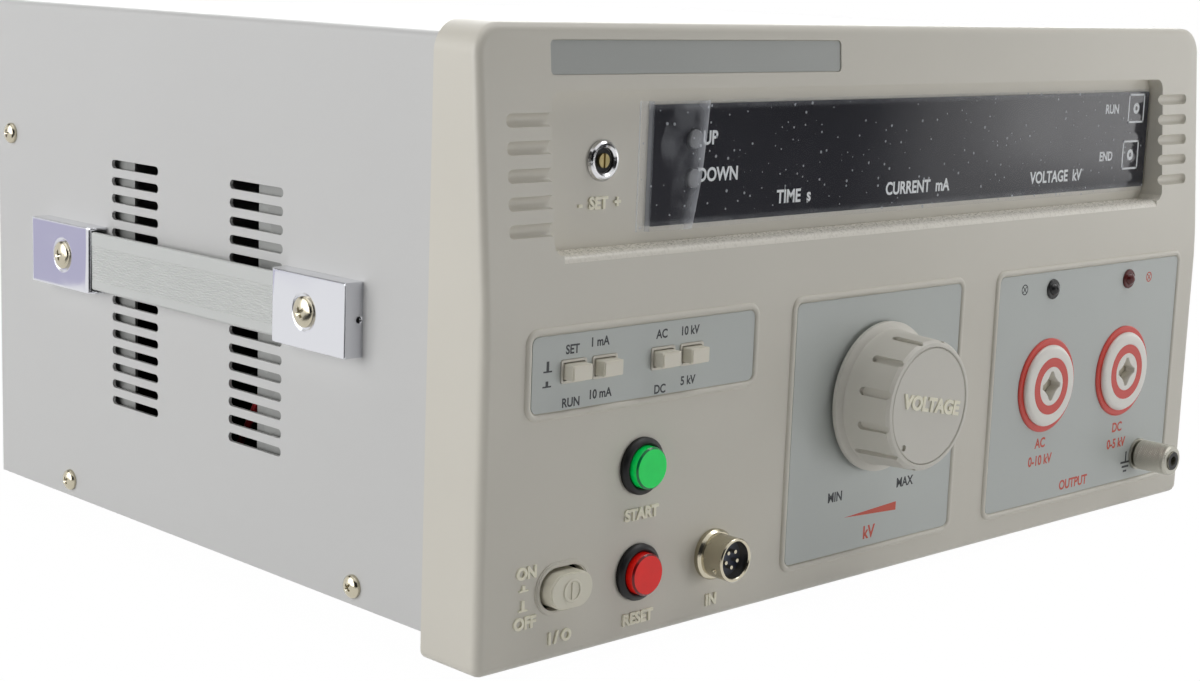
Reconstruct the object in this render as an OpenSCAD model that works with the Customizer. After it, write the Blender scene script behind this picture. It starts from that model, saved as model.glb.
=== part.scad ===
// Bench high-voltage withstand tester: a moulded front bezel on a sheet-metal case with two strap handles.
// Millimetres. x runs to the right, y to the rear and z up.
// Every module is drawn from the bezel's bottom edge and its lower front face, and placed() then moves
// it so that the origin is the middle of the footprint, on the surface the feet stand on.

/* [Bezel] */
// Width of the moulded bezel
bezel_w = 404; // [400:1:408]
// Height of the bezel
bezel_h = 200; // [198:1:204]
// Depth of the bezel's side
bezel_d = 26.7; // [25:0.1:29]
// Radius of the bezel's upper corners
bezel_r = 10; // [8:1:12]
// Radius of the bezel's lower corners
low_r = 3.6; // [3.2:0.2:5]
// Rounding of the edge round the front
edge_r = 3; // [2:0.5:4]
// Wall thickness of the bezel
bezel_t = 3.5; // [3:0.1:3.6]
// Height at which the front starts to lean back
crease_z = 110; // [109:1:112]
// Half height of the softened crease
crease_soft = 6; // [3:1:8]
// Lean of the upper front, in degrees
lean = 4.8; // [4:0.1:5.5]

/* [Display recess] */
// Width of the display recess
recess_w = 346; // [340:1:350]
// Bottom of the recess
recess_z0 = 129; // [128:0.5:130]
// Top of the recess
recess_z1 = 179; // [178:0.5:180]
// Corner radius of the recess
recess_r = 4; // [2:0.5:6]
// Rounding of the recess's lower front edge
lip_r = 3; // [2:0.5:3.5]
// Depth of the recess floor behind the lower front face
floor_y = 12; // [11:0.5:13]
// Wall thickness of the recess tub
tub_t = 2.5; // [2:0.1:3]
// Radius of the side grooves
groove_r = 2.1; // [1.6:0.1:2.3]
// Pitch of the side grooves
groove_pitch = 8.3; // [7.5:0.1:8.8]
// Outer end of the side grooves, from the middle
groove_end = 191.5; // [188:0.5:192]
// Left edge of the display window
window_x0 = -123.5; // [-125:0.5:-121]
// Right edge of the display window
window_x1 = 171.5; // [168:0.5:172]
// Height of the display window
window_h = 39.4; // [36:0.2:42]
// Thickness of the display window
window_t = 1.4; // [1:0.1:2]

/* [Panel plates] */
// Bottom of the two tall plates
plate_z0 = 9.2; // [9:0.1:10]
// Top of the three plates
plate_z1 = 107.6; // [106:0.1:108]
// Bottom of the switch plate
switch_plate_z0 = 78.5; // [77:0.5:80]
// Middle of the switch plate
switch_plate_x = -132.4; // [-133:0.1:-131]
// Width of the switch plate
switch_plate_w = 106; // [104:0.5:108]
// Middle of the regulator plate and its knob
knob_x = -13; // [-15:0.5:-11]
// Width of the regulator plate
knob_plate_w = 98.7; // [96:0.1:100]
// Middle of the output plate
output_plate_x = 122.5; // [121:0.5:124]
// Width of the output plate
output_plate_w = 132.4; // [130:0.1:133]
// Width of the raised frame round a plate
frame_w = 2.4; // [2:0.1:3]
// Height of the raised frame
frame_out = 1; // [0.6:0.1:1.4]
// Outer corner radius of the raised frame
frame_r = 5; // [4:0.5:6]
// Thickness of a printed label
label_t = 0.4; // [0.3:0.1:0.5]
// Left end of the name plate
name_plate_x0 = -172.5; // [-174:0.5:-170]
// Length of the name plate
name_plate_w = 136.8; // [130:0.1:140]
// Bottom of the name plate
name_plate_z0 = 184; // [183:0.1:185]
// Height of the name plate
name_plate_h = 10.4; // [9:0.1:11]

/* [Case] */
// Distance from the lower front face to the back of the case
case_back = 298; // [290:1:306]
// How far the cover lies inside the bezel's outline
case_inset = 4; // [4:0.1:5]
// Bottom of the case above the bezel's bottom
case_z0 = 7.2; // [6.5:0.1:8]
// Thickness of the cover
sheet_t = 1.2; // [1:0.1:1.5]
// Thickness of the chassis sheet
chassis_t = 1.5; // [1.2:0.1:2]
// Gap between the cover and the chassis sides
side_gap = 2; // [1.5:0.1:3]
// Outer bend radius of the cover
bend_r = 2.6; // [2:0.1:4]
// Number of ventilation slots in a column
slot_count = 15; // [13:1:15]
// Pitch of the ventilation slots
slot_pitch = 6.31; // [6:0.01:6.4]
// Length of a ventilation slot
slot_len = 31; // [28:1:32]
// Height of a ventilation slot
slot_h = 3.2; // [2.6:0.1:3.6]
// Middle of the top slot
slot_top_z = 139; // [136:1:140]
// Middle of the front slot column behind the face
slot_front_y = 123.2; // [120:0.1:126]
// Middle of the rear slot column behind the face
slot_rear_y = 199; // [196:0.5:202]

/* [Handles] */
// Distance between the two screws of a handle
handle_span = 152; // [148:1:154]
// Middle of a handle behind the front face
handle_y = 161.8; // [160:0.1:163]
// Middle of a handle above the bezel's bottom
handle_z = 102.8; // [101:0.1:105]
// Length of a handle's end cap
cap_len = 42; // [38:0.5:44]
// Height of an end cap
cap_h = 24.5; // [23:0.5:26]
// How far an end cap stands out
cap_out = 7.2; // [7.2:0.1:8]
// Wall of an end cap
cap_t = 1.2; // [1:0.1:1.2]
// Height of the strap
strap_h = 21.6; // [20:0.1:22]
// Thickness of the strap
strap_t = 1.8; // [1.6:0.1:1.8]
// Number of ribs along the strap
rib_count = 13; // [9:1:15]

/* [Controls] */
// Height of the regulator knob
knob_z = 67.8; // [66:0.1:69]
// How far the knob stands out
knob_out = 24; // [22:0.5:26]
// Radius of the knob's skirt
skirt_r = 27.4; // [26.5:0.1:28]
// Radius of the knob's front disc
disc_r = 21.1; // [20:0.1:21.2]
// Number of flutes round the knob
flute_count = 12; // [8:1:16]
// Width of a flute
flute_w = 3; // [2:0.1:4]
// Pointer's angle at the lowest setting, clockwise from straight down
pointer_min = 45; // [30:1:60]
// Radius of the regulator shaft
shaft_r = 4; // [3.8:0.1:4.2]
// Middle of the left pair of range switches
range_left_x = -158.8; // [-160:0.1:-157.5]
// Middle of the right pair of range switches
range_right_x = -119.2; // [-121:0.1:-118]
// Distance between the two switches of a pair
range_step = 13.4; // [12.8:0.1:14]
// Height of the range switches
range_z = 93.2; // [92:0.1:94]
// Width of a range switch cap
range_cap_w = 8.4; // [7.6:0.1:8.8]
// Height of a range switch cap
range_cap_h = 5; // [4.4:0.1:5.6]
// Travel of a range switch
range_travel = 3.2; // [2.5:0.1:3.5]
// Middle of the start and reset buttons, from the middle of the panel
button_x = -133.5; // [-135:0.1:-132]
// Height of the start button
start_z = 58.4; // [57:0.1:60]
// Height of the reset button
reset_z = 22.9; // [22:0.1:24]
// Radius of a button collar
collar_r = 9.5; // [9.2:0.1:9.8]
// Radius of a button cap
button_r = 7; // [6.6:0.1:7]
// Middle of the power button, from the middle of the panel
power_x = -166.6; // [-168:0.1:-165]
// Height of the power button
power_z = 23.6; // [23:0.1:25]
// Width of the power button cap
power_cap_w = 18; // [17:0.1:19]
// Height of the power button cap
power_cap_h = 11.6; // [11:0.1:12.4]
// Middle of the remote-control connector, from the middle of the panel
connector_x = -97.5; // [-99:0.1:-96]
// Height of the remote-control connector
connector_z = 22.9; // [22:0.1:24]
// Middle of the left output socket
ac_x = 94.2; // [92:0.1:96]
// Middle of the right output socket
dc_x = 148.7; // [147:0.1:151]
// Height of the output sockets
socket_z = 59.4; // [58:0.1:61]
// Radius of a socket's red flange
socket_r = 18.9; // [18:0.1:19.5]
// Height of the two lamps
lamp_z = 98; // [97:0.1:99]
// Middle of the earth terminal, from the middle of the panel
earth_x = 166.5; // [164:0.1:168]
// Height of the earth terminal
earth_z = 21.8; // [20.5:0.1:23]
// Middle of the preset adjuster, from the middle of the panel
preset_x = -144.4; // [-146:0.1:-143]
// Height of the preset adjuster
preset_z = 156.5; // [155:0.1:158]
// Middle of the two timer keys, from the middle of the panel
key_x = -103.8; // [-105:0.1:-102]
// Height between the two timer keys
key_z = 155.7; // [154:0.1:157]
// Distance between the two timer keys
key_step = 13; // [12:0.5:14]

/* [Hidden] */
$fn = 48;

// Rear parts stand out this far behind the rear panel
rear_out = 4;
// Feet reach this far below the bezel
foot_drop = 3;
// Shift that puts the middle of the footprint at the origin
origin_y = (knob_out - case_back - rear_out) / 2;

half_w = bezel_w / 2;
recess_h = recess_z1 - recess_z0;
recess_zm = (recess_z0 + recess_z1) / 2;
window_w = window_x1 - window_x0;
window_xm = (window_x0 + window_x1) / 2;
window_lip = 5;
case_x = half_w - case_inset;
case_z1 = bezel_h - case_inset;
cover_x = case_x - sheet_t;
wall_x = cover_x - side_gap;
wall_in = wall_x - sheet_t;
floor_z = case_z0 + chassis_t;
panel_back = bezel_d + chassis_t;
cover_y0 = bezel_d - 10;
tray_y0 = bezel_d - 8;
chassis_z1 = 165;
chassis_back = 276;
flange_y = 278;
rear_foot_x = 180;
subpanel_z1 = 122;
subpanel_flange = 22;
side_window_y = [126, 204];
side_window_z = [30, 152];

// Places of the controls on the panel
knob_pos = [knob_x, knob_z];
start_pos = [button_x, start_z];
reset_pos = [button_x, reset_z];
power_pos = [power_x, power_z];
connector_pos = [connector_x, connector_z];
socket_x = [ac_x, dc_x];
earth_pos = [earth_x, earth_z];
preset_pos = [preset_x, preset_z];
slot_y = [slot_front_y, slot_rear_y];
switch_plate = [switch_plate_x, switch_plate_w];
knob_plate = [knob_x, knob_plate_w];
output_plate = [output_plate_x, output_plate_w];
frame_plates = [[switch_plate, switch_plate_z0], [knob_plate, plate_z0], [output_plate, plate_z0]];
frame_foot = 0.5;
plate_pocket = 0.9;
plate_t = 0.5;

// Cover screws as distances behind the face and heights
cover_screw_at = [[66.7, 13.6], [245.2, 13.6], [287.8, 144.3]];
bezel_boss_at = [[-187, 66], [187, 66], [-187, 18], [187, 18]];
foot_at = [[-162, 52], [162, 52], [-162, 262], [162, 262]];
foot_r = 11;

// Switch parts
slot_play = 0.4;
rim_w = 0.8;
rim_out = 0.8;
power_rim_w = 1.7;
range_body = [9, 24, 11];
range_x = [for (pair = [range_left_x, range_right_x], side = [-1, 1]) pair + side * range_step / 2];
power_body = [16, 30, 20];
power_travel = 4;
stem = 3.4;
stem_end = panel_back + 10;
stem_play = 0.4;

// Regulator: base disc, winding and brush behind the panel
base_y = [panel_back, panel_back + 5];
winding_y = [base_y[1], base_y[1] + 46];
winding_r = [27, 50];
arm_y = [winding_y[1] + 4, winding_y[1] + 8];
shaft_play = 0.05;

// Front part of the earth stud
stud_r = 3.8;

// Contact pin of the control connector
pin_r = 0.65;

// Head of a handle screw and the depth of its seat in the end cap
head_r = 5.2;
seat_d = 0.35;

// Star-shaped opening of an output socket: its tips, its waist and the lobes between
star_r = 5.9;
star_waist = 4;
lobe_r = 9;

// Output socket: the flange's front, the insulator's front, the coloured ring in it and the contact
flange_h = 1.2;
socket_h = 3.2;
contact_y = 1.4;
ring_r = [7.85, 11.4];

// Flutes are cut down to this radius
flute_floor = 22.4;

// Display electronics behind the recess floor
board_y = [20, 21.6];
board_boss_x = [-118, 168];
// Middle and width of each block of digits
digit_at = [[-72, 26], [18, 39], [112, 39]];
digit_h = 19;

// Mains inlet, seen from the rear
inlet_pos = [-140, 62];
inlet_size = [31, 58];
inlet_cavity = [24.6, 17];
cavity_z = inlet_size[1] / 2 - 17.5;
drawer_size = [22, 13];
drawer_z = -14;
drawer_len = 22;

// Route of the mains lead from the power switch to the inlet
lead_r = 1.4;
lead_sides = 8;
lead_steps = 6;
lead_route = [[-166.6, 58.2, 26], [-166.6, 68, 26], [-182, 100, 62], [-187, 123.5, 76], [-187, 147, 46],
    [-180, 170, 26], [-172, 205, 30], [-140, 258, 55], [-140, 272, 55]];

module placed() translate([0, origin_y, foot_drop]) children();

// Flat shape drawn in x and z, as thick as y0 to y1
module front(y0, y1) translate([0, y1, 0]) rotate([90, 0, 0]) linear_extrude(y1 - y0) children();

// Flat shape drawn in y and z, as wide as x0 to x1
module across(x0, x1) translate([x0, 0, 0]) rotate([90, 0, 90]) linear_extrude(x1 - x0) children();

// Round bar along y
module bar(r, y0, y1) translate([0, y1, 0]) rotate([90, 0, 0]) cylinder(r = r, h = y1 - y0);

// Turned piece: its profile is radius and distance out of the panel
module turned() rotate([90, 0, 0]) rotate_extrude() children();

// Moves children to a place on the panel
module at(p) translate([p[0], 0, p[1]]) children();

module round_rect(w, h, r) {
    square([w - 2 * r, h], center = true);
    square([w, h - 2 * r], center = true);
    for (sx = [-1, 1], sy = [-1, 1]) translate([sx * (w / 2 - r), sy * (h / 2 - r)]) circle(r);
}

module stadium(w, h) {
    square([w - h, h], center = true);
    for (s = [-1, 1]) translate([s * (w - h) / 2, 0]) circle(h / 2);
}

// Places children on the leaning upper front, with y into the panel and z along the lean
module on_lean() translate([0, 0, crease_z]) rotate([-lean, 0, 0]) children();

module both_sides() {
    children();
    mirror([1, 0, 0]) children();
}

// Front bezel

// Ring with a round section that rounds one corner of the front
module corner_ring(r) rotate([90, 0, 0]) rotate_extrude($fn = 32) intersection() {
    translate([r - edge_r, 0]) circle(edge_r, $fn = 16);
    translate([0, -edge_r]) square([r, 2 * edge_r]);
}

// Short cone at the crease: only its wide end reaches the outside
module crease_cone(r_low, r_high) cylinder(r1 = r_low, r2 = r_high, h = 1, $fn = 16);

module bezel_corners() {
    x = half_w - bezel_r;
    z = bezel_h - bezel_r;
    translate([half_w - low_r, edge_r, low_r]) corner_ring(low_r);
    translate([half_w - low_r, edge_r, low_r]) bar(low_r, 0, bezel_d - edge_r, $fn = 32);
    translate([x, 0, 0]) on_lean() translate([0, edge_r, (z - crease_z) / cos(lean)]) corner_ring(bezel_r);
    translate([x, 0, z]) bar(bezel_r, bezel_d - 8, bezel_d, $fn = 32);
    translate([half_w - edge_r, edge_r, crease_z - crease_soft]) crease_cone(edge_r / 2, edge_r);
    translate([half_w - edge_r, 0, 0]) on_lean()
        translate([0, edge_r, crease_soft]) crease_cone(edge_r, edge_r / 2);
}

module bezel_outside() hull() both_sides() bezel_corners();

module bezel_inside() intersection() {
    across(-half_w + bezel_t, half_w - bezel_t) polygon([
        [bezel_t, bezel_t],
        [bezel_t, crease_z],
        [bezel_t + (bezel_h - bezel_t - crease_z) * tan(lean), bezel_h - bezel_t],
        [bezel_d + 1, bezel_h - bezel_t],
        [bezel_d + 1, bezel_t]]);
    front(0, bezel_d + 1) translate([0, bezel_h / 2])
        round_rect(bezel_w - 2 * bezel_t, bezel_h - 2 * bezel_t, bezel_r - bezel_t);
}

// Room for the front edge of the cover, which has sharper corners than the bezel
module cover_pocket() front(cover_y0 - 1, bezel_d + 1) translate([0, bezel_h / 2])
    round_rect(bezel_w - 2 * bezel_t, bezel_h - 2 * bezel_t, bend_r + 0.5);

module recess_outline(grow) translate([0, recess_zm])
    round_rect(recess_w + 2 * grow, recess_h + 2 * grow, recess_r + grow);

// Room in front of the recess's rounded lower edge, whose ends run out past both faces
module recess_lip() {
    mid_z = recess_z0 - lip_r;
    mid_y = (mid_z - crease_z) * tan(lean) + lip_r;
    arc = [for (a = [12:18:84]) [mid_y - lip_r * cos(a), mid_z + lip_r * sin(a)]];
    low = arc[0] + 1.5 * (arc[0] - arc[1]);
    high = arc[4] + 1.5 * (arc[4] - arc[3]);
    across(-recess_w / 2 + recess_r, recess_w / 2 - recess_r)
        polygon(concat([low], arc, [high, [high[0], recess_z0 + 1.5], [low[0], recess_z0 + 1.5]]));
}

// Walls that stand inside the bezel: the recess tub, the board posts and the screw bosses
module bezel_inner_walls() {
    front(0, floor_y + tub_t) recess_outline(tub_t);
    for (p = bezel_boss_at) at(p) bar(5, 1, bezel_d);
    for (x = board_boss_x, s = [-1, 1]) at([x, recess_zm + s * 21.5]) bar(3, floor_y, board_y[0]);
}

module side_grooves() both_sides() for (i = [-2:2]) on_lean()
    translate([0, 0, (recess_zm + i * groove_pitch - crease_z) / cos(lean)]) {
        translate([recess_w / 2 - 1, 0, 0]) rotate([0, 90, 0])
            cylinder(r = groove_r, h = groove_end - groove_r - recess_w / 2 + 1);
        translate([groove_end - groove_r, 0, 0]) sphere(groove_r);
    }

// Section of the raised frame: a half-round bead with its foot in the panel
module bead_section() {
    translate([-frame_w / 2, -frame_foot]) square([frame_w, frame_foot + frame_out - frame_w / 2]);
    translate([0, frame_out - frame_w / 2]) circle(frame_w / 2);
}

// Bead round a plate, drawn flat and then stood up on the panel
module plate_frame(plate, z0) {
    run_x = plate[1] / 2 - frame_r;
    run_z = (plate_z1 - z0) / 2 - frame_r;
    r = frame_r - frame_w / 2;
    translate([plate[0], 0, (plate_z1 + z0) / 2]) rotate([90, 0, 0]) {
        for (s = [-1, 1]) {
            translate([-run_x, s * (run_z + r), 0]) rotate([90, 0, 90])
                linear_extrude(2 * run_x) bead_section();
            translate([s * (run_x + r), run_z, 0]) rotate([90, 0, 0])
                linear_extrude(2 * run_z) bead_section();
        }
        for (i = [0:3]) translate([i % 3 == 0 ? run_x : -run_x, i < 2 ? run_z : -run_z, 0])
            rotate(90 * i) rotate_extrude(angle = 90) translate([r, 0]) bead_section();
    }
}

module cap_slot() square([range_cap_w + 2 * slot_play, range_cap_h + 2 * slot_play], center = true);

module rim_outline(play) round_rect(range_cap_w + 2 * (slot_play + rim_w + play),
    range_cap_h + 2 * (slot_play + rim_w + play), rim_w + play);

// Thin rim round each range switch
module range_rims() for (x = range_x) at([x, range_z]) front(-rim_out, frame_foot) difference() {
    rim_outline(0);
    cap_slot();
}

module power_slot(wall) stadium(power_cap_w + 2.4 + 2 * wall, power_cap_h + 2.4 + 2 * wall);

// Low oval rim round the power button
module power_rim() at(power_pos) {
    front(-0.4, frame_foot) difference() {
        power_slot(power_rim_w);
        power_slot(0);
    }
    front(-0.7, frame_foot) difference() {
        power_slot(power_rim_w - 0.4);
        power_slot(0.4);
    }
}

module name_plate_outline(play) translate([name_plate_x0 + name_plate_w / 2,
    (name_plate_z0 + name_plate_h / 2 - crease_z) / cos(lean)])
    round_rect(name_plate_w + 2 * play, name_plate_h + 2 * play, 1.4 + play);

module panel_holes() {
    for (x = range_x) at([x, range_z]) front(-1, bezel_t + 1) cap_slot();
    at(power_pos) front(-1, bezel_t + 1) power_slot(0);
    for (p = [start_pos, reset_pos]) at(p) bar(8, -1, bezel_t + 1);
    at(connector_pos) bar(7, -1, bezel_t + 1);
    at(knob_pos) bar(6, -1, bezel_t + 1);
    for (x = socket_x) {
        at([x, socket_z]) bar(13.2, -1, bezel_t + 1);
        at([x, lamp_z]) bar(3.1, -1, bezel_t + 1);
    }
    at(earth_pos) bar(3.2, -1, bezel_t + 1);
    at(preset_pos) bar(4.1, floor_y - 1, floor_y + tub_t + 1);
}

module front_bezel() color("#a29f98") placed() {
    difference() {
        bezel_outside();
        difference() {
            union() {
                bezel_inside();
                cover_pocket();
            }
            bezel_inner_walls();
        }
        front(-1, floor_y) recess_outline(0);
        recess_lip();
        front(floor_y - 1, floor_y + tub_t + 1) translate([window_xm, recess_zm])
            round_rect(window_w - 2 * window_lip, window_h - 2 * window_lip + 2, 2);
        side_grooves();
        on_lean() front(-1, plate_pocket) name_plate_outline(0.2);
        panel_holes();
        for (p = bezel_boss_at) at(p) bar(1.7, 12, bezel_d + 1);
    }
    for (f = frame_plates) plate_frame(f[0], f[1]);
    range_rims();
    power_rim();
}

module bezel_screws() color("#b9bab6") placed() for (p = bezel_boss_at) at(p) {
    bar(1.6, 14, panel_back);
    translate([0, panel_back, 0]) rotate([180, 0, 0]) turned()
        polygon([[0, 0], [3.4, 0], [3.4, 1.4], [2.4, 2.2], [0, 2.2]]);
}

// Plates and labels

module name_plate() color("#b7b6b0") placed() on_lean()
    front(plate_pocket - plate_t, plate_pocket) name_plate_outline(0);

module label_sheet(plate, z0) {
    inset = frame_w + 0.2;
    h = plate_z1 - z0;
    front(-label_t, 0) difference() {
        translate([plate[0], (plate_z1 + z0) / 2])
            round_rect(plate[1] - 2 * inset, h - 2 * inset, frame_r - inset);
        children();
    }
}

module switch_label() color("#9ea19a") placed() label_sheet(switch_plate, switch_plate_z0)
    for (x = range_x) translate([x, range_z]) rim_outline(0.15);

module knob_label() color("#9ea19a") placed()
    label_sheet(knob_plate, plate_z0) translate(knob_pos) circle(6);

module output_label() color("#9ea19a") placed() label_sheet(output_plate, plate_z0) {
    for (x = socket_x) {
        translate([x, socket_z]) circle(13.2);
        translate([x, lamp_z]) circle(3.1);
    }
    translate(earth_pos) circle(3.2);
}

// Display

module display_window() color("#2a2a2f") placed() front(floor_y - window_t, floor_y) difference() {
    translate([window_xm, recess_zm]) round_rect(window_w, window_h, 1);
    for (s = [-1, 1]) translate([key_x, key_z + s * key_step / 2]) circle(3.5);
}

// Board with the two key switches soldered to its front
module display_board() color("#1d5a3a") placed() {
    front(board_y[0], board_y[1]) translate([window_xm, recess_zm]) round_rect(window_w + 8, recess_h - 1, 2);
    for (s = [-1, 1]) at([key_x, key_z + s * key_step / 2]) {
        front(17, board_y[0]) square(6, center = true);
        bar(1.7, 16.4, 17);
    }
}

module digit_modules() color("#3a3a3a") placed() for (d = digit_at)
    front(floor_y + 0.6, board_y[0]) translate([d[0], recess_zm]) square([d[1], digit_h], center = true);

module timer_key(side) at([key_x, key_z + side * key_step / 2])
    translate([0, floor_y, 0]) turned() polygon([
        [0, -3.4], [1.9, -3.4], [1.9, -1.6], [4.1, -1.6], [4.1, -0.5], [3.2, -0.5],
        [3.2, 2.2], [2.8, 2.5], [0, 2.5]]);

module timer_up_key() color("#8d8f92") placed() timer_key(1);

module timer_down_key() color("#8d8f92") placed() timer_key(-1);

module preset_collar() color("#c9c8c2") placed() at(preset_pos) translate([0, floor_y, 0]) turned()
    polygon([[4.2, 0], [6.7, 0], [6.7, 0.5], [6.2, 1.3], [5.6, 1.8], [4.9, 1.9], [4.2, 1.2]]);

module preset_pot() color("#2b2b2b") placed() at(preset_pos) difference() {
    union() {
        bar(8.5, floor_y + tub_t, floor_y + tub_t + 9);
        bar(4, floor_y - 0.2, floor_y + tub_t);
    }
    bar(2.3 + shaft_play, floor_y - 3, floor_y + tub_t + 6);
}

module preset_shaft() color("#c9c8c2") placed() at(preset_pos) difference() {
    bar(2.3, floor_y - 1.2, floor_y + tub_t + 5.5);
    front(floor_y - 2, floor_y - 0.3) square([0.8, 6], center = true);
}

// Range switches

module range_cap(i) color("#cfcabd") placed() at([range_x[i], range_z]) {
    front(-4.6, 8) round_rect(range_cap_w, range_cap_h, 0.5);
    front(-5, -4.6) round_rect(range_cap_w - 0.8, range_cap_h - 0.8, 0.4);
    front(8, stem_end) square(stem, center = true);
}

module range_cap_1() range_cap(0);

module range_cap_2() range_cap(1);

module range_cap_3() range_cap(2);

module range_cap_4() range_cap(3);

module range_switch_bodies() color("#e4e2da") placed() for (x = range_x) at([x, range_z]) difference() {
    front(panel_back, panel_back + range_body[1]) square([range_body[0], range_body[2]], center = true);
    front(panel_back - 1, stem_end + range_travel + 1) square(stem + 2 * stem_play, center = true);
}

// Power, start and reset

module power_cap() color("#b9b6ad") placed() at(power_pos) {
    front(-4.2, 10) stadium(power_cap_w, power_cap_h);
    front(-4.6, -4.2) stadium(power_cap_w - 0.8, power_cap_h - 0.8);
    front(10, stem_end) square(stem, center = true);
}

module power_switch_body() color("#3b3b3d") placed() at(power_pos) difference() {
    front(panel_back, panel_back + power_body[1]) square([power_body[0], power_body[2]], center = true);
    front(panel_back - 1, stem_end + power_travel + 1) square(stem + 2 * stem_play, center = true);
}

module button_housing(p) color("#1f1f20") placed() at(p) turned() polygon([
    [0, -24], [7.9, -24], [7.9, 0], [collar_r, 0], [collar_r, 1.3], [collar_r - 0.9, 2.3], [7.9, 2.6],
    [button_r + 0.15, 2.2], [button_r + 0.15, -12], [0, -12]]);

module button_cap(p) placed() at(p) turned() polygon([
    [0, -6], [button_r, -6], [button_r, 4.8], [button_r - 0.6, 5.4], [0, 5.4]]);

module start_housing() button_housing(start_pos);

module start_cap() color("#30bc5d") button_cap(start_pos);

module reset_housing() button_housing(reset_pos);

module reset_cap() color("#c13d37") button_cap(reset_pos);

module button_nuts() color("#2a2a2a") placed() for (p = [start_pos, reset_pos])
    at(p) translate([0, bezel_t + 5, 0]) difference() {
        rotate([90, 0, 0]) cylinder(r = 11.5, h = 5, $fn = 6);
        bar(7.95, -6, 1);
    }

// Remote-control connector

module connector_shell() color("#b3b1ab") placed() at(connector_pos) {
    turned() polygon([
        [6.3, -12], [6.9, -12], [6.9, 0], [8.75, 0], [8.75, 1.6], [8, 2.6], [7.5, 2.6], [7.5, 10.8],
        [7.1, 11.2], [6.7, 11.2], [6.3, 10.8]]);
    rotate([0, 150, 0]) translate([7.4, -7.2, 0]) rotate([0, 90, 0]) cylinder(r = 0.9, h = 0.7);
}

module contact_ring() for (i = [0:4]) rotate([0, i * 72 + 18, 0]) translate([2.85, 0, 0]) children();

module connector_insert() color("#1c2a44") placed() at(connector_pos) difference() {
    bar(6.3, -7, 10);
    contact_ring() bar(pin_r, -10, -4);
}

module connector_contacts() color("#c7b98a") placed() at(connector_pos) contact_ring() bar(pin_r, -9.2, -4);

// Regulator

module knob_profile() polygon([
    [shaft_r, 1.4], [skirt_r - 0.8, 1.4], [skirt_r, 2.2], [skirt_r, 3.6], [skirt_r - 1, 4.6],
    [24.9, 5], [24.4, 6.2], [23.5, knob_out - 1.4], [22.6, knob_out - 0.2], [22, knob_out],
    [disc_r + 0.3, knob_out], [disc_r, knob_out - 0.4], [disc_r, knob_out - 3], [0, knob_out - 3],
    [0, knob_out - 6], [shaft_r, knob_out - 6]]);

// Round-ended flute cut into the knob's side, between two heights above the panel
module flute(h0, h1) across(flute_floor, skirt_r + 1)
    translate([-(h0 + h1) / 2, 0]) stadium(h1 - h0, flute_w);

module regulator_knob() color("#9c9a92") placed() at(knob_pos) difference() {
    turned() knob_profile();
    for (i = [0:flute_count - 1]) rotate([0, 90 + pointer_min + 360 / flute_count * i, 0])
        flute(i == 0 ? 5.5 : 10.6, knob_out - 0.6);
}

module knob_disc() color("#a3a099") placed() at(knob_pos) difference() {
    turned() polygon([[0, knob_out - 3], [disc_r - 0.15, knob_out - 3], [disc_r - 0.15, knob_out - 0.5],
        [disc_r - 0.5, knob_out - 0.15], [0, knob_out - 0.15]]);
    rotate([0, 90 + pointer_min, 0]) translate([disc_r - 2, 0, 0]) bar(1.2, -knob_out - 1, -knob_out + 1.2);
}

module regulator_shaft() color("#b9bab6") placed()
    at(knob_pos) bar(shaft_r - 0.02, 6 - knob_out, arm_y[1] + 4);

module brush_arm() color("#8d7a4d") placed() at(knob_pos) difference() {
    union() {
        bar(10, arm_y[0] - 2, arm_y[1]);
        rotate([0, 90 + pointer_min, 0]) {
            translate([0, arm_y[0], -5]) cube([44, arm_y[1] - arm_y[0], 10]);
            translate([38, 0, 0]) bar(4, winding_y[1] + 0.4, arm_y[0]);
        }
    }
    bar(shaft_r, arm_y[0] - 3, arm_y[1] + 1);
}

module regulator_base() color("#4a3a2c") placed() at(knob_pos) difference() {
    union() {
        bar(52, base_y[0], base_y[1]);
        bar(14, base_y[1], winding_y[1] - 2);
    }
    bar(shaft_r + shaft_play, base_y[0] - 1, winding_y[1]);
}

module regulator_winding() color("#8a4b22") placed() at(knob_pos) translate([0, winding_y[1], 0])
    turned() translate([winding_r[0], 0]) square([winding_r[1] - winding_r[0], winding_y[1] - winding_y[0]]);

// Output sockets, lamps and earth terminal

module socket_flanges() color("#bf3f38") placed() for (x = socket_x) at([x, socket_z]) turned()
    polygon([[13.2, label_t], [socket_r, label_t], [socket_r, flange_h - 0.4], [socket_r - 0.5, flange_h],
        [13.2, flange_h]]);

// Four-pointed opening between four round lobes
module star_opening() difference() {
    circle(star_r);
    for (a = [45:90:315]) rotate(a) translate([star_waist + lobe_r, 0]) circle(lobe_r);
}

module hv_socket(x) color("#d8d4ca") placed() at([x, socket_z]) difference() {
    turned() polygon([
        [0, -22], [13, -22], [13, flange_h], [16.4, flange_h], [16.4, socket_h - 1.2], [15.8, socket_h - 0.4],
        [14.8, socket_h], [ring_r[1], socket_h], [ring_r[1], socket_h - 0.6], [ring_r[0], socket_h - 0.6],
        [ring_r[0], socket_h], [0, socket_h]]);
    front(-socket_h - 1, contact_y) star_opening();
    bar(6.2, contact_y, 23);
}

module ac_socket() hv_socket(socket_x[0]);

module dc_socket() hv_socket(socket_x[1]);

module socket_rings() color("#c0413a") placed() for (x = socket_x) at([x, socket_z]) turned()
    translate([ring_r[0], socket_h - 0.6]) square([ring_r[1] - ring_r[0], 0.6]);

module socket_contacts() color("#8f8a80") placed() for (x = socket_x)
    at([x, socket_z]) bar(6.2, contact_y, 26);

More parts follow.
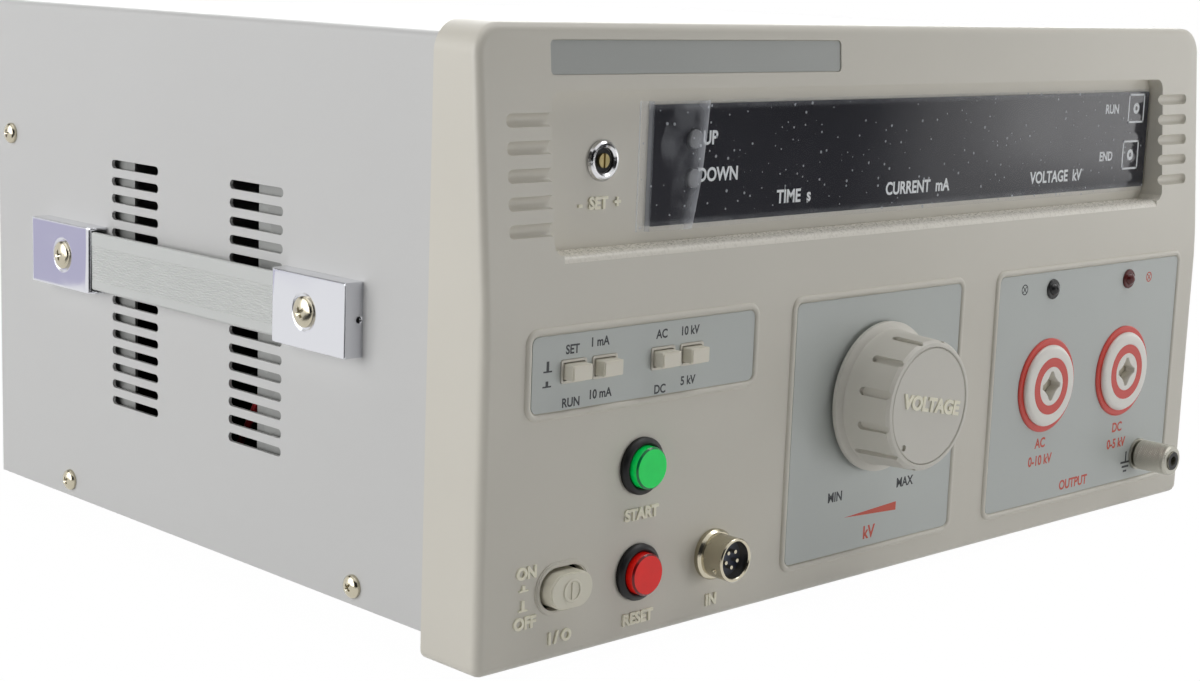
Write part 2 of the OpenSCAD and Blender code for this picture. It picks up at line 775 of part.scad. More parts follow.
module lamp(x) placed() at([x, lamp_z]) turned() {
    polygon([[0, -10], [2.9, -10], [2.9, 0], [2.9, label_t], [4, label_t], [4, 0.9], [3.6, 1.3], [0, 1.3]]);
    intersection() {
        translate([0, 0.6]) circle(2.6);
        square([4, 4]);
    }
}

module ready_lamp() color("#4a4a48") lamp(socket_x[0]);

module voltage_lamp() color("#6b2420") lamp(socket_x[1]);

module earth_stud() color("#8f8d88") placed() at(earth_pos) difference() {
    turned() polygon([[0, -26], [3, -26], [3, label_t], [6.6, label_t], [6.6, 1.5], [stud_r, 1.8],
        [stud_r, 17.8], [0, 17.8]]);
    bar(2.05, -19, -6);
}

module earth_thumb_nut() color("#a5a39c") placed() at(earth_pos) turned() polygon([
    [stud_r + 0.2, 2.2], [5.8, 2.2], [6.4, 2.8], [6.4, 16.2], [5.8, 17.2], [stud_r + 0.2, 17.2]]);

// Case

module cover_section() intersection() {
    difference() {
        translate([0, case_z1 - bezel_h]) round_rect(2 * case_x, 2 * bezel_h, bend_r);
        translate([0, case_z1 - bezel_h])
            round_rect(2 * cover_x, 2 * bezel_h - 2 * sheet_t, bend_r - sheet_t);
    }
    translate([-half_w, case_z0]) square([bezel_w, bezel_h]);
}

module top_cover() color("#c5c5c3") placed() difference() {
    front(cover_y0, case_back) cover_section();
    across(-half_w, half_w) {
        for (y = slot_y, i = [0:slot_count - 1])
            translate([y, slot_top_z - i * slot_pitch]) stadium(slot_len, slot_h);
        for (s = [-1, 1]) translate([handle_y + s * handle_span / 2, handle_z]) circle(2.6);
        for (p = cover_screw_at) translate(p) circle(2.1);
    }
}

module bottom_chassis() color("#b8b9b7") placed() difference() {
    union() {
        translate([-wall_x, tray_y0, case_z0]) cube([2 * wall_x, case_back - chassis_t - tray_y0, chassis_t]);
        both_sides() {
            translate([wall_in, panel_back, case_z0])
                cube([sheet_t, chassis_back - panel_back, chassis_z1 - case_z0]);
            for (i = [0, 1]) across(wall_x, cover_x) translate(cover_screw_at[i]) circle(4.5);
        }
    }
    across(-half_w, half_w) {
        translate([side_window_y[0], side_window_z[0]])
            square([side_window_y[1] - side_window_y[0], side_window_z[1] - side_window_z[0]]);
        for (s = [-1, 1]) translate([handle_y + s * handle_span / 2, handle_z]) circle(5);
        for (i = [0, 1]) translate(cover_screw_at[i]) circle(1.9);
    }
    for (p = foot_at) translate([p[0], p[1], 0]) cylinder(r = 2.1, h = 20);
}

module inlet_cutout() translate(inlet_pos) square([inlet_size[0] - 4, inlet_size[1] - 10], center = true);

module rear_panel() color("#bdbdba") placed() difference() {
    union() {
        front(case_back - chassis_t, case_back) translate([0, (case_z0 + case_z1 - sheet_t) / 2])
            round_rect(2 * cover_x, case_z1 - sheet_t - case_z0, bend_r);
        both_sides() translate([cover_x - chassis_t, flange_y, 20])
            cube([chassis_t, case_back - flange_y, 160]);
        translate([-rear_foot_x, flange_y, floor_z]) cube([2 * rear_foot_x, case_back - flange_y, chassis_t]);
    }
    front(case_back - 5, case_back + 1) inlet_cutout();
    across(-half_w, half_w) translate(cover_screw_at[2]) circle(1.9);
}

module front_subpanel() color("#b8b9b7") placed() difference() {
    union() {
        front(bezel_d, panel_back) translate([-wall_in, floor_z])
            square([2 * wall_in, subpanel_z1 - floor_z]);
        both_sides() translate([wall_in - chassis_t, bezel_d, floor_z])
            cube([chassis_t, subpanel_flange, subpanel_z1 - floor_z]);
    }
    front(bezel_d - 1, panel_back + 1) {
        for (x = range_x) translate([x, range_z]) square(5, center = true);
        translate(power_pos) square(5, center = true);
        translate(knob_pos) circle(7);
        for (p = bezel_boss_at) translate(p) circle(1.8);
    }
}

module cover_screws() color("#b9bab6") placed() both_sides() for (i = [0:2])
    translate([case_x, cover_screw_at[i][0], cover_screw_at[i][1]]) rotate([0, 90, 0]) {
        rotate_extrude() polygon([[0, 0], [4, 0], [4, 1.1], [3.2, 2], [1.8, 2.5], [0, 2.6]]);
        translate([0, 0, -7]) cylinder(r = 1.85, h = 7);
    }

// Strap handles

// Hollow end cap, open to the case and to the strap, with a shallow seat for its screw
module handle_cap() {
    outer = cap_len / 2 + 1;
    inner = outer - cap_len;
    lip = cap_out / 2;
    difference() {
        translate([0, 0, -cap_h / 2]) linear_extrude(cap_h) {
            translate([0, inner + lip]) square([cap_out, cap_len - lip]);
            translate([0, inner]) square([cap_out - lip, lip]);
            translate([cap_out - lip, inner + lip]) circle(lip);
        }
        translate([-1, inner - 1, 1 - cap_h / 2]) cube([cap_out - cap_t + 1, cap_len - cap_t + 1, cap_h - 2]);
        rotate([0, 90, 0]) cylinder(r = 2.7, h = cap_out + 1);
        translate([cap_out - seat_d, 0, 0]) rotate([0, 90, 0]) cylinder(r = head_r + 0.9, h = 1);
        translate([1.6, outer - cap_t - 1, 0]) rotate([-90, 0, 0]) cylinder(r = 1.1, h = cap_t + 2);
    }
}

module handle_caps() color("#c8cacd") placed() both_sides() for (s = [-1, 1])
    translate([case_x, handle_y + s * handle_span / 2, handle_z]) {
        if (s > 0) handle_cap();
        else mirror([0, 1, 0]) handle_cap();
    }

// Section of the strap: thickness along x, ribs in the middle of its outer face
module strap_section() {
    band = 4;
    pitch = (strap_h - band - 5.2) / rib_count;
    face = cap_out - cap_t;
    difference() {
        translate([face - strap_t / 2, 0]) round_rect(strap_t, strap_h, strap_t / 2 - 0.05);
        for (i = [0:rib_count]) translate([face + 0.1, band - strap_h / 2 + i * pitch]) circle(0.3, $fn = 16);
    }
}

module handle_straps() color("#bfc1be") placed() both_sides()
    translate([case_x, handle_y, handle_z]) difference() {
        len = handle_span + 22;
        translate([0, len / 2, 0]) rotate([90, 0, 0]) linear_extrude(len) strap_section();
        for (s = [-1, 1]) translate([0, s * handle_span / 2, 0]) rotate([0, 90, 0])
            linear_extrude(cap_out) rotate(90) stadium(14, 6);
    }

module handle_screws() color("#b9bab6") placed() both_sides() for (s = [-1, 1])
    translate([case_x, handle_y + s * handle_span / 2, handle_z]) rotate([0, 90, 0]) {
        translate([0, 0, cap_out - seat_d]) rotate_extrude()
            polygon([[0, 0], [head_r, 0], [head_r, 0.6], [head_r - 0.7, 1.4], [2.8, 2.1], [0, 2.3]]);
        translate([0, 0, -2.8]) cylinder(r = 2.5, h = cap_out - seat_d + 2.8);
    }

// Feet

module rubber_feet() color("#242424") placed()
    for (p = foot_at) translate([p[0], p[1], -foot_drop]) difference() {
    h = case_z0 + foot_drop;
    rotate_extrude() polygon([[0, 0], [foot_r - 2.6, 0], [foot_r - 2, 0.6], [foot_r, h], [0, h]]);
    translate([0, 0, -1]) cylinder(r = 4.5, h = 5);
    cylinder(r = 2.2, h = h + 1);
}

module foot_screws() color("#b9bab6") placed() for (p = foot_at) translate([p[0], p[1], 4 - foot_drop]) {
    translate([0, 0, -2.4]) cylinder(r = 3.8, h = 2.4);
    cylinder(r = 2, h = 12);
}

// Inner electrics

module transformer_core() color("#55575a") placed() translate([108, 200, floor_z]) difference() {
    translate([-60, -28, 0]) cube([120, 56, 100]);
    for (s = [-1, 1]) translate([s * 30 - 10, -29, 20]) cube([20, 58, 60]);
}

module transformer_coil() color("#b08a3c") placed() translate([108, 200, floor_z]) difference() {
    translate([-38, -46, 21]) cube([76, 92, 58]);
    translate([-20.2, -28.2, 20]) cube([40.4, 56.4, 60]);
}

module main_board() color("#1d5a3a") placed() translate([-95, 215, floor_z]) {
    translate([-65, -48, 12]) cube([130, 96, 1.6]);
    for (sx = [-1, 1], sy = [-1, 1]) translate([sx * 58, sy * 41, 0]) cylinder(r = 3, h = 12);
    translate([-40, -30, 13.6]) cube([28, 13, 16]);
    translate([-5, -30, 13.6]) cube([28, 13, 16]);
    for (i = [0:2]) translate([-30 + i * 22, 20, 13.6]) cylinder(r = 8, h = 26);
}

// Smooth curve through the route, as a point at share t of stretch i
function route_point(i) = lead_route[max(0, min(len(lead_route) - 1, i))];
function curve(i, t) =
    let (a = route_point(i - 1), b = route_point(i), c = route_point(i + 1), d = route_point(i + 2))
    b + t * (c - a) / 2 + t * t * (a - 2.5 * b + 2 * c - d / 2) + t * t * t * (3 * b - a - 3 * c + d) / 2;

// Ring of points round the wire at p, square to its direction
function wire_ring(p, along) =
    let (n = cross(along, [0, 0, 1]) / norm(cross(along, [0, 0, 1])), b = cross(along, n))
    [for (k = [0:lead_sides - 1]) let (turn = 360 * k / lead_sides)
        p + lead_r * (cos(turn) * n + sin(turn) * b)];

module mains_lead() color("#b3262a") placed() {
    path = concat([for (i = [0:len(lead_route) - 2], j = [0:lead_steps - 1]) curve(i, j / lead_steps)],
        [route_point(len(lead_route))]);
    last = len(path) - 1;
    ways = [for (i = [0:last]) i == 0 || i == last ? [0, 1, 0]
        : (path[i + 1] - path[i - 1]) / norm(path[i + 1] - path[i - 1])];
    rings = [for (i = [0:last]) wire_ring(path[i], ways[i])];
    sides = [for (i = [0:last - 1], k = [0:lead_sides - 1])
        let (a = i * lead_sides + k, b = i * lead_sides + (k + 1) % lead_sides)
        each [[a, a + lead_sides, b + lead_sides], [a, b + lead_sides, b]]];
    ends = [[for (k = [0:lead_sides - 1]) k], [for (k = [lead_sides - 1:-1:0]) last * lead_sides + k]];
    polyhedron([for (ring = rings) each ring], concat(sides, ends));
}

module inlet_hole() translate([0, cavity_z]) difference() {
    square(inlet_cavity, center = true);
    for (s = [-1, 1]) translate([s * inlet_cavity[0] / 2, inlet_cavity[1] / 2])
        rotate(45) square(6, center = true);
}

module mains_inlet() color("#222224") placed() at(inlet_pos) {
    difference() {
        union() {
            front(case_back, case_back + 2.5) round_rect(inlet_size[0], inlet_size[1], 3);
            front(case_back - 26, case_back)
                square([inlet_size[0] - 4.4, inlet_size[1] - 10.4], center = true);
        }
        front(case_back - 16, case_back + 3) inlet_hole();
        front(case_back - drawer_len - 0.5, case_back + 3) translate([0, drawer_z])
            square([drawer_size[0] + 0.7, drawer_size[1] + 0.7], center = true);
    }
    translate([0, 0, cavity_z]) for (p = [[0, 3], [-7, -2.5], [7, -2.5]])
        front(case_back - 17, case_back - 5) translate(p) square([2, 4], center = true);
}

module fuse_drawer() color("#2b2b2d") placed() at([inlet_pos[0], inlet_pos[1] + drawer_z]) difference() {
    union() {
        front(case_back - drawer_len, case_back + 2.9) square(drawer_size, center = true);
        front(case_back + 2.9, case_back + rear_out)
            square([drawer_size[0] + 2, drawer_size[1] + 2], center = true);
    }
    front(case_back - drawer_len + 2, case_back - 4) translate([0, 2])
        square([drawer_size[0] - 5, drawer_size[1]], center = true);
}

front_bezel();
top_cover();
bottom_chassis();
rear_panel();
front_subpanel();
bezel_screws();
name_plate();
switch_label();
knob_label();
output_label();
display_window();
display_board();
digit_modules();
timer_up_key();
timer_down_key();
preset_collar();
preset_pot();
preset_shaft();
range_cap_1();
range_cap_2();
range_cap_3();
range_cap_4();
range_switch_bodies();
power_cap();
power_switch_body();
start_housing();
start_cap();
reset_housing();
reset_cap();
button_nuts();
connector_shell();
connector_insert();
connector_contacts();
regulator_knob();
knob_disc();
regulator_shaft();
brush_arm();
regulator_base();
regulator_winding();
socket_flanges();
ac_socket();
dc_socket();
socket_rings();
socket_contacts();
ready_lamp();
voltage_lamp();
earth_stud();
earth_thumb_nut();
handle_caps();
handle_straps();
handle_screws();
cover_screws();
rubber_feet();
foot_screws();
transformer_core();
transformer_coil();
main_board();
mains_lead();
mains_inlet();
fuse_drawer();
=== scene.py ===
# %% [markdown]
# # A bench high-voltage withstand tester
# The real thing is a painted steel box with a moulded grey front. The solids of every rigid piece
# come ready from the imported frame, at their real size, so this lesson is about looks: where the
# camera stands, how the studio is lit, what each surface is made of, and the small pieces that
# only the eye needs, such as cross-head screws, a knurl, legends and the clear film on the display.

# %% Load the frame
import math
import random
from functools import partial

import bpy
from mathutils import Matrix, Vector


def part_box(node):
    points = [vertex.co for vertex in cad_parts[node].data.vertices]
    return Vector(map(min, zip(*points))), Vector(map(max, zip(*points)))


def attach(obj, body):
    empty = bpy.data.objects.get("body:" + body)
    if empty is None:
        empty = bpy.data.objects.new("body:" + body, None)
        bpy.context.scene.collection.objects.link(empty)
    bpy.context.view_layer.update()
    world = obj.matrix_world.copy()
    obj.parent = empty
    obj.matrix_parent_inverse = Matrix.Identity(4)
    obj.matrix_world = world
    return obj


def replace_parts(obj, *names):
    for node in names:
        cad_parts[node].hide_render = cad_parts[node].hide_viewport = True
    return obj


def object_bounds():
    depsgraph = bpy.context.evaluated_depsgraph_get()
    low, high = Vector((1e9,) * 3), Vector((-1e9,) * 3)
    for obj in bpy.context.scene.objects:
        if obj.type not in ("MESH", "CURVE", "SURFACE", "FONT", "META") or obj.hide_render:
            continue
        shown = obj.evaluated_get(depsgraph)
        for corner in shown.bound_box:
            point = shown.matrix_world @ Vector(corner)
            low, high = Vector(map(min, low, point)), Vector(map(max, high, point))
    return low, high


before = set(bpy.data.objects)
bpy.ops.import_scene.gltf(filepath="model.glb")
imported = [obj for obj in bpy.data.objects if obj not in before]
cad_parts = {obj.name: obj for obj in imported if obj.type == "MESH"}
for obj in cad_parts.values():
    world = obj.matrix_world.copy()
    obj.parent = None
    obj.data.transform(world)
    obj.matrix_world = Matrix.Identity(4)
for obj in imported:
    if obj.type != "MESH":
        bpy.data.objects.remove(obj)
cad_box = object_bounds()
MM = 0.001

# %% [markdown]
# ## The camera
# The photograph looks at the front left corner from a little above the top edge. A camera is
# its place, the way it looks and its lens. The tilt of the horizon is a roll about the line of
# sight, and doing it with a roll keeps the frame free of any lens shift.

# %% Camera
CAMERA_AT = Vector((-610.3, -604.7, 219.9)) * MM
CAMERA_HEADING = math.radians(44.41)
CAMERA_TILT = math.radians(-10.04)
CAMERA_ROLL = math.radians(2.11)
LENS = 63.43
SENSOR = 36.0


def camera_axes(heading, tilt, roll):
    """Rotation whose columns are the camera's right, up and backward directions."""
    level = math.cos(tilt)
    forward = Vector((math.sin(heading) * level, math.cos(heading) * level, math.sin(tilt)))
    right = forward.cross(Vector((0, 0, 1))).normalized()
    up = right.cross(forward)
    rolled_right = right * math.cos(roll) + up * math.sin(roll)
    rolled_up = up * math.cos(roll) - right * math.sin(roll)
    return Matrix((rolled_right, rolled_up, -forward)).transposed()


bpy.ops.object.camera_add()
camera = bpy.context.object
camera.name = "photo_camera"
camera.data.lens = LENS
camera.data.sensor_width = SENSOR
camera.data.clip_start = 0.01
turn = camera_axes(CAMERA_HEADING, CAMERA_TILT, CAMERA_ROLL)
camera.matrix_world = Matrix.Translation(CAMERA_AT) @ turn.to_4x4()
bpy.context.scene.camera = camera
bpy.context.scene.view_settings.view_transform = "Standard"
print("camera", [round(v, 3) for v in CAMERA_AT], "lens", LENS)

# %% [markdown]
# ## Colours and nodes
# A screen colour is written as sRGB, and a shader wants linear light, so one function converts.
# A second small function adds a shader node with its settings and links, which keeps each
# material short enough to read as a recipe.


# %% Colour and node helpers
def linear(code):
    """The linear colour of an sRGB hex code such as #c8c4b8."""
    parts = [int(code[i:i + 2], 16) / 255 for i in (1, 3, 5)]
    flat = [p / 12.92 if p <= 0.04045 else ((p + 0.055) / 1.055) ** 2.4 for p in parts]
    return (*flat, 1.0)


def add(tree, kind, inputs=None, **settings):
    """Adds a node. An input is a plain value, or a socket to link from."""
    made = tree.nodes.new(kind)
    for key, value in settings.items():
        setattr(made, key, value)
    for key, value in (inputs or {}).items():
        if isinstance(value, bpy.types.NodeSocket):
            tree.links.new(value, made.inputs[key])
        else:
            made.inputs[key].default_value = value
    return made


def start_material(name, **sockets):
    """A new material; returns it with its node tree, its shader and the object coordinates."""
    material = bpy.data.materials.new(name)
    material.use_nodes = True
    tree = material.node_tree
    shader = tree.nodes["Principled BSDF"]
    for key, value in sockets.items():
        shader.inputs[key.replace("_", " ")].default_value = value
    place = add(tree, "ShaderNodeTexCoord").outputs["Object"]
    return material, tree, shader, place


def per_mm(size):
    """Texture scale at which a pattern repeats about every size millimetres."""
    return 1 / (size * MM)


def fresh(operator, **settings):
    """Runs one of Blender's add operators and returns the new object, which alone is selected."""
    bpy.ops.object.select_all(action="DESELECT")
    operator(**settings)
    return bpy.context.object


# %% [markdown]
# ## The studio
# The object was shot on white with one large soft light on its left side and weaker ones above
# and on the right, so the front is in half shade and the knob's shadow falls to the left. The
# floor and the world look white to the camera, to gloss and to glass, but give the object almost
# no light. Plated metal and a dark window need something dark to mirror, or they look like white
# plastic, so dark and grey cards stand behind the camera, in front of the window, on the floor
# and high at the back, where only gloss can see them. The last card is the bright backdrop. The
# top of the cover is seen at such a low angle that it mirrors it, and melts into the white.

# %% Floor and world
FLOOR_SIZE = 12.0
FLOOR_COLOUR = "#d4d4d4"
FLOOR_GLOW = 1.02
FLOOR_SHARE_LIT = 0.03
WORLD_FILL = 0.03
WHITE = (1, 1, 1, 1)


def seen_directly(tree):
    """1 for camera, glossy and transmission rays, and 0 for rays that carry light."""
    path = add(tree, "ShaderNodeLightPath").outputs
    two = add(tree, "ShaderNodeMath", {0: path["Is Camera Ray"], 1: path["Is Glossy Ray"]},
              operation="MAXIMUM")
    three = add(tree, "ShaderNodeMath", {0: two.outputs[0], 1: path["Is Transmission Ray"]},
                operation="MAXIMUM")
    return three.outputs[0]


def white_floor():
    """White paper: part of what the eye sees is lit and takes the shadow, the rest glows white."""
    material, tree, shader, _ = start_material("white_paper_floor", Roughness=0.9)
    shader.inputs["Base Color"].default_value = linear(FLOOR_COLOUR)
    glow = add(tree, "ShaderNodeEmission", {"Color": WHITE, "Strength": FLOOR_GLOW})
    share = add(tree, "ShaderNodeMath", {0: seen_directly(tree), 1: 1 - FLOOR_SHARE_LIT},
                operation="MULTIPLY")
    mix = add(tree, "ShaderNodeMixShader",
              {0: share.outputs[0], 1: shader.outputs[0], 2: glow.outputs[0]})
    tree.links.new(mix.outputs[0], tree.nodes["Material Output"].inputs["Surface"])
    return material


floor = fresh(bpy.ops.mesh.primitive_plane_add, size=FLOOR_SIZE)
floor.name = "floor"
floor.data.materials.append(white_floor())

world = bpy.data.worlds.new("studio")
bpy.context.scene.world = world
world.use_nodes = True
sky = world.node_tree
level = add(sky, "ShaderNodeMapRange", {0: seen_directly(sky), 3: WORLD_FILL, 4: 1.0})
sky.links.new(level.outputs[0], sky.nodes["Background"].inputs["Strength"])
sky.nodes["Background"].inputs["Color"].default_value = WHITE

# %% Soft boxes
AIM = (cad_box[0] + cad_box[1]) / 2


def soft_box(name, place, size, watts):
    """A square area light that looks at the middle of the object."""
    lamp = fresh(bpy.ops.object.light_add, type="AREA", location=place)
    lamp.name = name
    lamp.data.size = size
    lamp.data.energy = watts
    lamp.rotation_mode = "QUATERNION"
    lamp.rotation_quaternion = (AIM - Vector(place)).to_track_quat("-Z", "Y")


soft_box("left_soft_box", (-1.8, 0.75, 0.75), 1.4, 17.0)
soft_box("left_low_box", (-1.9, 0.0, 0.25), 1.0, 10.2)
soft_box("right_low_box", (1.7, -0.75, 0.25), 0.9, 3.7)
soft_box("top_right_box", (0.7, -0.55, 1.45), 0.55, 4.8)
soft_box("overhead_box", (0.1, 0.0, 1.6), 0.9, 6.5)
soft_box("front_low_box", (0.4, -1.0, 0.02), 0.55, 4.0)


# %% Cards for reflections
def card(name, place, size, code, flat=False, glow=1.0):
    """A square card of a plain colour that faces the object, or lies flat, seen by gloss only."""
    made = fresh(bpy.ops.mesh.primitive_plane_add, size=size, location=place)
    made.name = name
    made.rotation_mode = "QUATERNION"
    facing = Vector((0, 0, 1)) if flat else AIM - Vector(place)
    made.rotation_quaternion = facing.to_track_quat("Z", "Y")
    material, tree, _, _ = start_material(name + "_paper")
    tone = add(tree, "ShaderNodeEmission", {"Color": linear(code), "Strength": glow})
    tree.links.new(tone.outputs[0], tree.nodes["Material Output"].inputs["Surface"])
    made.data.materials.append(material)
    made.visible_camera = False
    made.visible_diffuse = False
    made.visible_transmission = False
    made.visible_shadow = False


card("camera_card", (-1.25, -1.1, 0.35), 2.2, "#1c1c1e")
card("front_card", (0.5, -0.85, 0.2), 0.6, "#0a0a0a")
card("floor_card", (-0.85, -0.33, 0.002), 0.95, "#3a3a3e", flat=True)
card("rear_floor_card", (-0.6, 0.85, 0.002), 0.48, "#cac7de", flat=True)
card("back_card", (-0.7, 1.5, 1.25), 0.9, "#2a2a2c")
card("backdrop_card", (1.3, 1.7, 0.6), 2.2, "#ffffff", glow=3.5)
print("studio: floor, world, six soft boxes and six cards")

# %% [markdown]
# ## Finishes
# Each finish starts from what the real material is. Moulded ABS has a spark-eroded grain, paint
# on sheet steel has an orange-peel ripple, plated parts have streaks left by handling. Patterns
# are scaled from a size in millimetres, and the finest are drawn a little coarser so that they
# show. Four small functions make the pattern and let it vary the colour, the gloss and the skin.


# %% Finish helpers
def noise(tree, place, size, detail=2.0):
    """Soft noise with patches about size millimetres across."""
    pattern = add(tree, "ShaderNodeTexNoise",
                  {"Vector": place, "Scale": per_mm(size), "Detail": detail})
    return pattern.outputs[0]


def vary_colour(tree, shader, value, code, low, high=1.0):
    """Runs the colour from low times to high times that of the code as a value goes from 0 to 1."""
    dark, light = ([c * share for c in linear(code)[:3]] + [1] for share in (low, high))
    mix = add(tree, "ShaderNodeMix", {0: value, 6: dark, 7: light}, data_type="RGBA")
    tree.links.new(mix.outputs[2], shader.inputs["Base Color"])


def vary_gloss(tree, shader, value, low, high, start=0.0, end=1.0):
    """Runs the roughness from low to high as a value goes from start to end."""
    rough = add(tree, "ShaderNodeMapRange", {0: value, 1: start, 2: end, 3: low, 4: high})
    tree.links.new(rough.outputs[0], shader.inputs["Roughness"])


def vary_skin(tree, shader, value, depth, strength):
    """Raises the skin by up to that depth, in millimetres, and returns the bump node."""
    bump = add(tree, "ShaderNodeBump",
               {"Height": value, "Distance": depth * MM, "Strength": strength})
    tree.links.new(bump.outputs[0], shader.inputs["Normal"])
    return bump


# %% Finish: plastics
def moulded(name, code, grain=0.9, depth=0.012, rough=0.46, tint=0.04, ior=1.53):
    """Moulded ABS: an even satin with the fine eroded grain of the mould, cloudy by a hair."""
    material, tree, shader, place = start_material(name, IOR=ior)
    vary_colour(tree, shader, noise(tree, place, 60, 3.0), code, 1 - tint, 1 + tint)
    skin = noise(tree, place, grain)
    vary_gloss(tree, shader, skin, rough - 0.06, rough + 0.06)
    vary_skin(tree, shader, skin, depth, 0.8)
    return material


def translucent(name, code, rough=0.18, glow=0.0):
    """Tinted acrylic of a lamp or button cap: clear gloss over a body that light soaks into and
    leaves. Any glow is painted light.
    """
    material, tree, shader, place = start_material(
        name, IOR=1.38, Coat_Weight=0.1, Coat_Roughness=0.1, Subsurface_Weight=0.2,
        Subsurface_Scale=2.5 * MM, Emission_Color=linear(code), Emission_Strength=glow)
    shader.inputs["Subsurface Radius"].default_value = (1, 1, 1)
    swirl = noise(tree, place, 5)
    vary_colour(tree, shader, swirl, code, 0.82)
    vary_gloss(tree, shader, swirl, rough - 0.05, rough + 0.08)
    return material


# %% Finish: paint and bare metal
def stove_paint(name, code):
    """Stoved paint on sheet steel: an orange-peel ripple about 1.5 mm wide, under a soft sheen."""
    material, tree, shader, place = start_material(name, IOR=1.5)
    drift = noise(tree, place, 90)
    vary_colour(tree, shader, drift, code, 0.97)
    vary_gloss(tree, shader, drift, 0.36, 0.46)
    vary_skin(tree, shader, noise(tree, place, 1.5), 0.02, 0.7)
    return material


def plated(name, code, rough, smear=0.06, streak=(8, 8, 8), edge=0.0):
    """Plated metal: a mirror or satin whose gloss is dulled in smears by handling and polishing.

    An edge width, in millimetres, makes the light turn softly round the edges.
    """
    material, tree, shader, place = start_material(name, Metallic=1.0)
    shader.inputs["Base Color"].default_value = linear(code)
    stretched = add(tree, "ShaderNodeMapping",
                    {"Vector": place, "Scale": [per_mm(s) for s in streak]})
    smears = add(tree, "ShaderNodeTexNoise",
                 {"Vector": stretched.outputs[0], "Scale": 1.0, "Detail": 4.0}).outputs[0]
    vary_gloss(tree, shader, smears, max(rough - smear, 0.02), rough + smear, 0.3, 0.7)
    bump = vary_skin(tree, shader, smears, 0.01, 0.3)
    if edge:
        rounded = add(tree, "ShaderNodeBevel", {"Radius": edge * MM}, samples=8)
        tree.links.new(rounded.outputs[0], bump.inputs["Normal"])
    return material


def spangled(name, code):
    """Zinc-coated sheet: dull grey with the crystal spangle of the dip, about 9 mm across."""
    material, tree, shader, place = start_material(name, Metallic=0.55)
    crystals = add(tree, "ShaderNodeTexVoronoi", {"Vector": place, "Scale": per_mm(9)})
    shade = add(tree, "ShaderNodeSeparateColor", {0: crystals.outputs["Color"]}).outputs
    vary_colour(tree, shader, shade[0], code, 0.86)
    vary_gloss(tree, shader, shade[1], 0.42, 0.58)
    return material


# %% Finish: printed sheet, window and ink
def printed_sheet(name, code):
    """Polycarbonate label, printed on its back: smooth, a little pebbled, with an even colour."""
    material, tree, shader, place = start_material(name, IOR=1.58)
    wash = noise(tree, place, 40)
    vary_colour(tree, shader, wash, code, 0.96)
    vary_gloss(tree, shader, wash, 0.3, 0.38)
    vary_skin(tree, shader, noise(tree, place, 0.7, 1.0), 0.006, 0.5)
    return material


def smoked_acrylic(name, code):
    """Dark cast acrylic of the display window: deep, glossy and almost flat."""
    material, tree, shader, place = start_material(name, IOR=1.42)
    ripple = noise(tree, place, 30, 1.0)
    vary_colour(tree, shader, ripple, code, 1.0, 1.3)
    vary_gloss(tree, shader, ripple, 0.08, 0.16)
    return material


def ink(name, code, rough=0.5):
    """Screen ink or paint on a raised letter: one colour, slightly uneven as it was wiped on."""
    material, tree, shader, place = start_material(name, IOR=1.5)
    blot = noise(tree, place, 1.2)
    vary_colour(tree, shader, blot, code, 0.88)
    vary_gloss(tree, shader, blot, rough - 0.08, rough + 0.08)
    return material


# %% [markdown]
# ### The film on the window
# Clear film is almost nothing until it bends. It clings to the window, but stands off round the
# two keys in a blister that ends at the right in a fold. Both edges are curves on the panel,
# given as x from the height d above the middle of the keys, and both wander a little. At its
# bends and ends the film is drawn whitish and less clear, a painted sheen; its dust is real.
# The lift of the film's mesh, further down, uses the same curves. All lengths are in millimetres.

# %% Finish: clear film
KEYS_Z = 157.0
EDGE_WANDER = 1.6
FOLD_X, FOLD_LEAN, FOLD_CURVE = -98.0, 0.155, 0.0026
BLISTER_X, BLISTER_CURVE, BLISTER_REACH, BLISTER_Z = -119.0, 0.045, 5.3, 6.0
BORDER_D = (17.2, 19.4)
FLAP_X = (-122.6, -124.0)
STEP_X = (-124.9, -124.2)
RIM_X = (-127.5, -128.1)
DUST_EVERY = 3
VEIL = 0.015


def calc(tree, operation, first, second=0.0):
    """One step of arithmetic on a texture value."""
    return add(tree, "ShaderNodeMath", {0: first, 1: second}, operation=operation).outputs[0]


def ramp(tree, value, start, end):
    """Rises smoothly from 0 at start to 1 at end, or falls if end is the lower."""
    node = add(tree, "ShaderNodeMapRange", {0: value, 1: min(start, end), 2: max(start, end),
                                            3: float(start > end), 4: float(start < end)},
               interpolation_type="SMOOTHSTEP")
    return node.outputs[0]


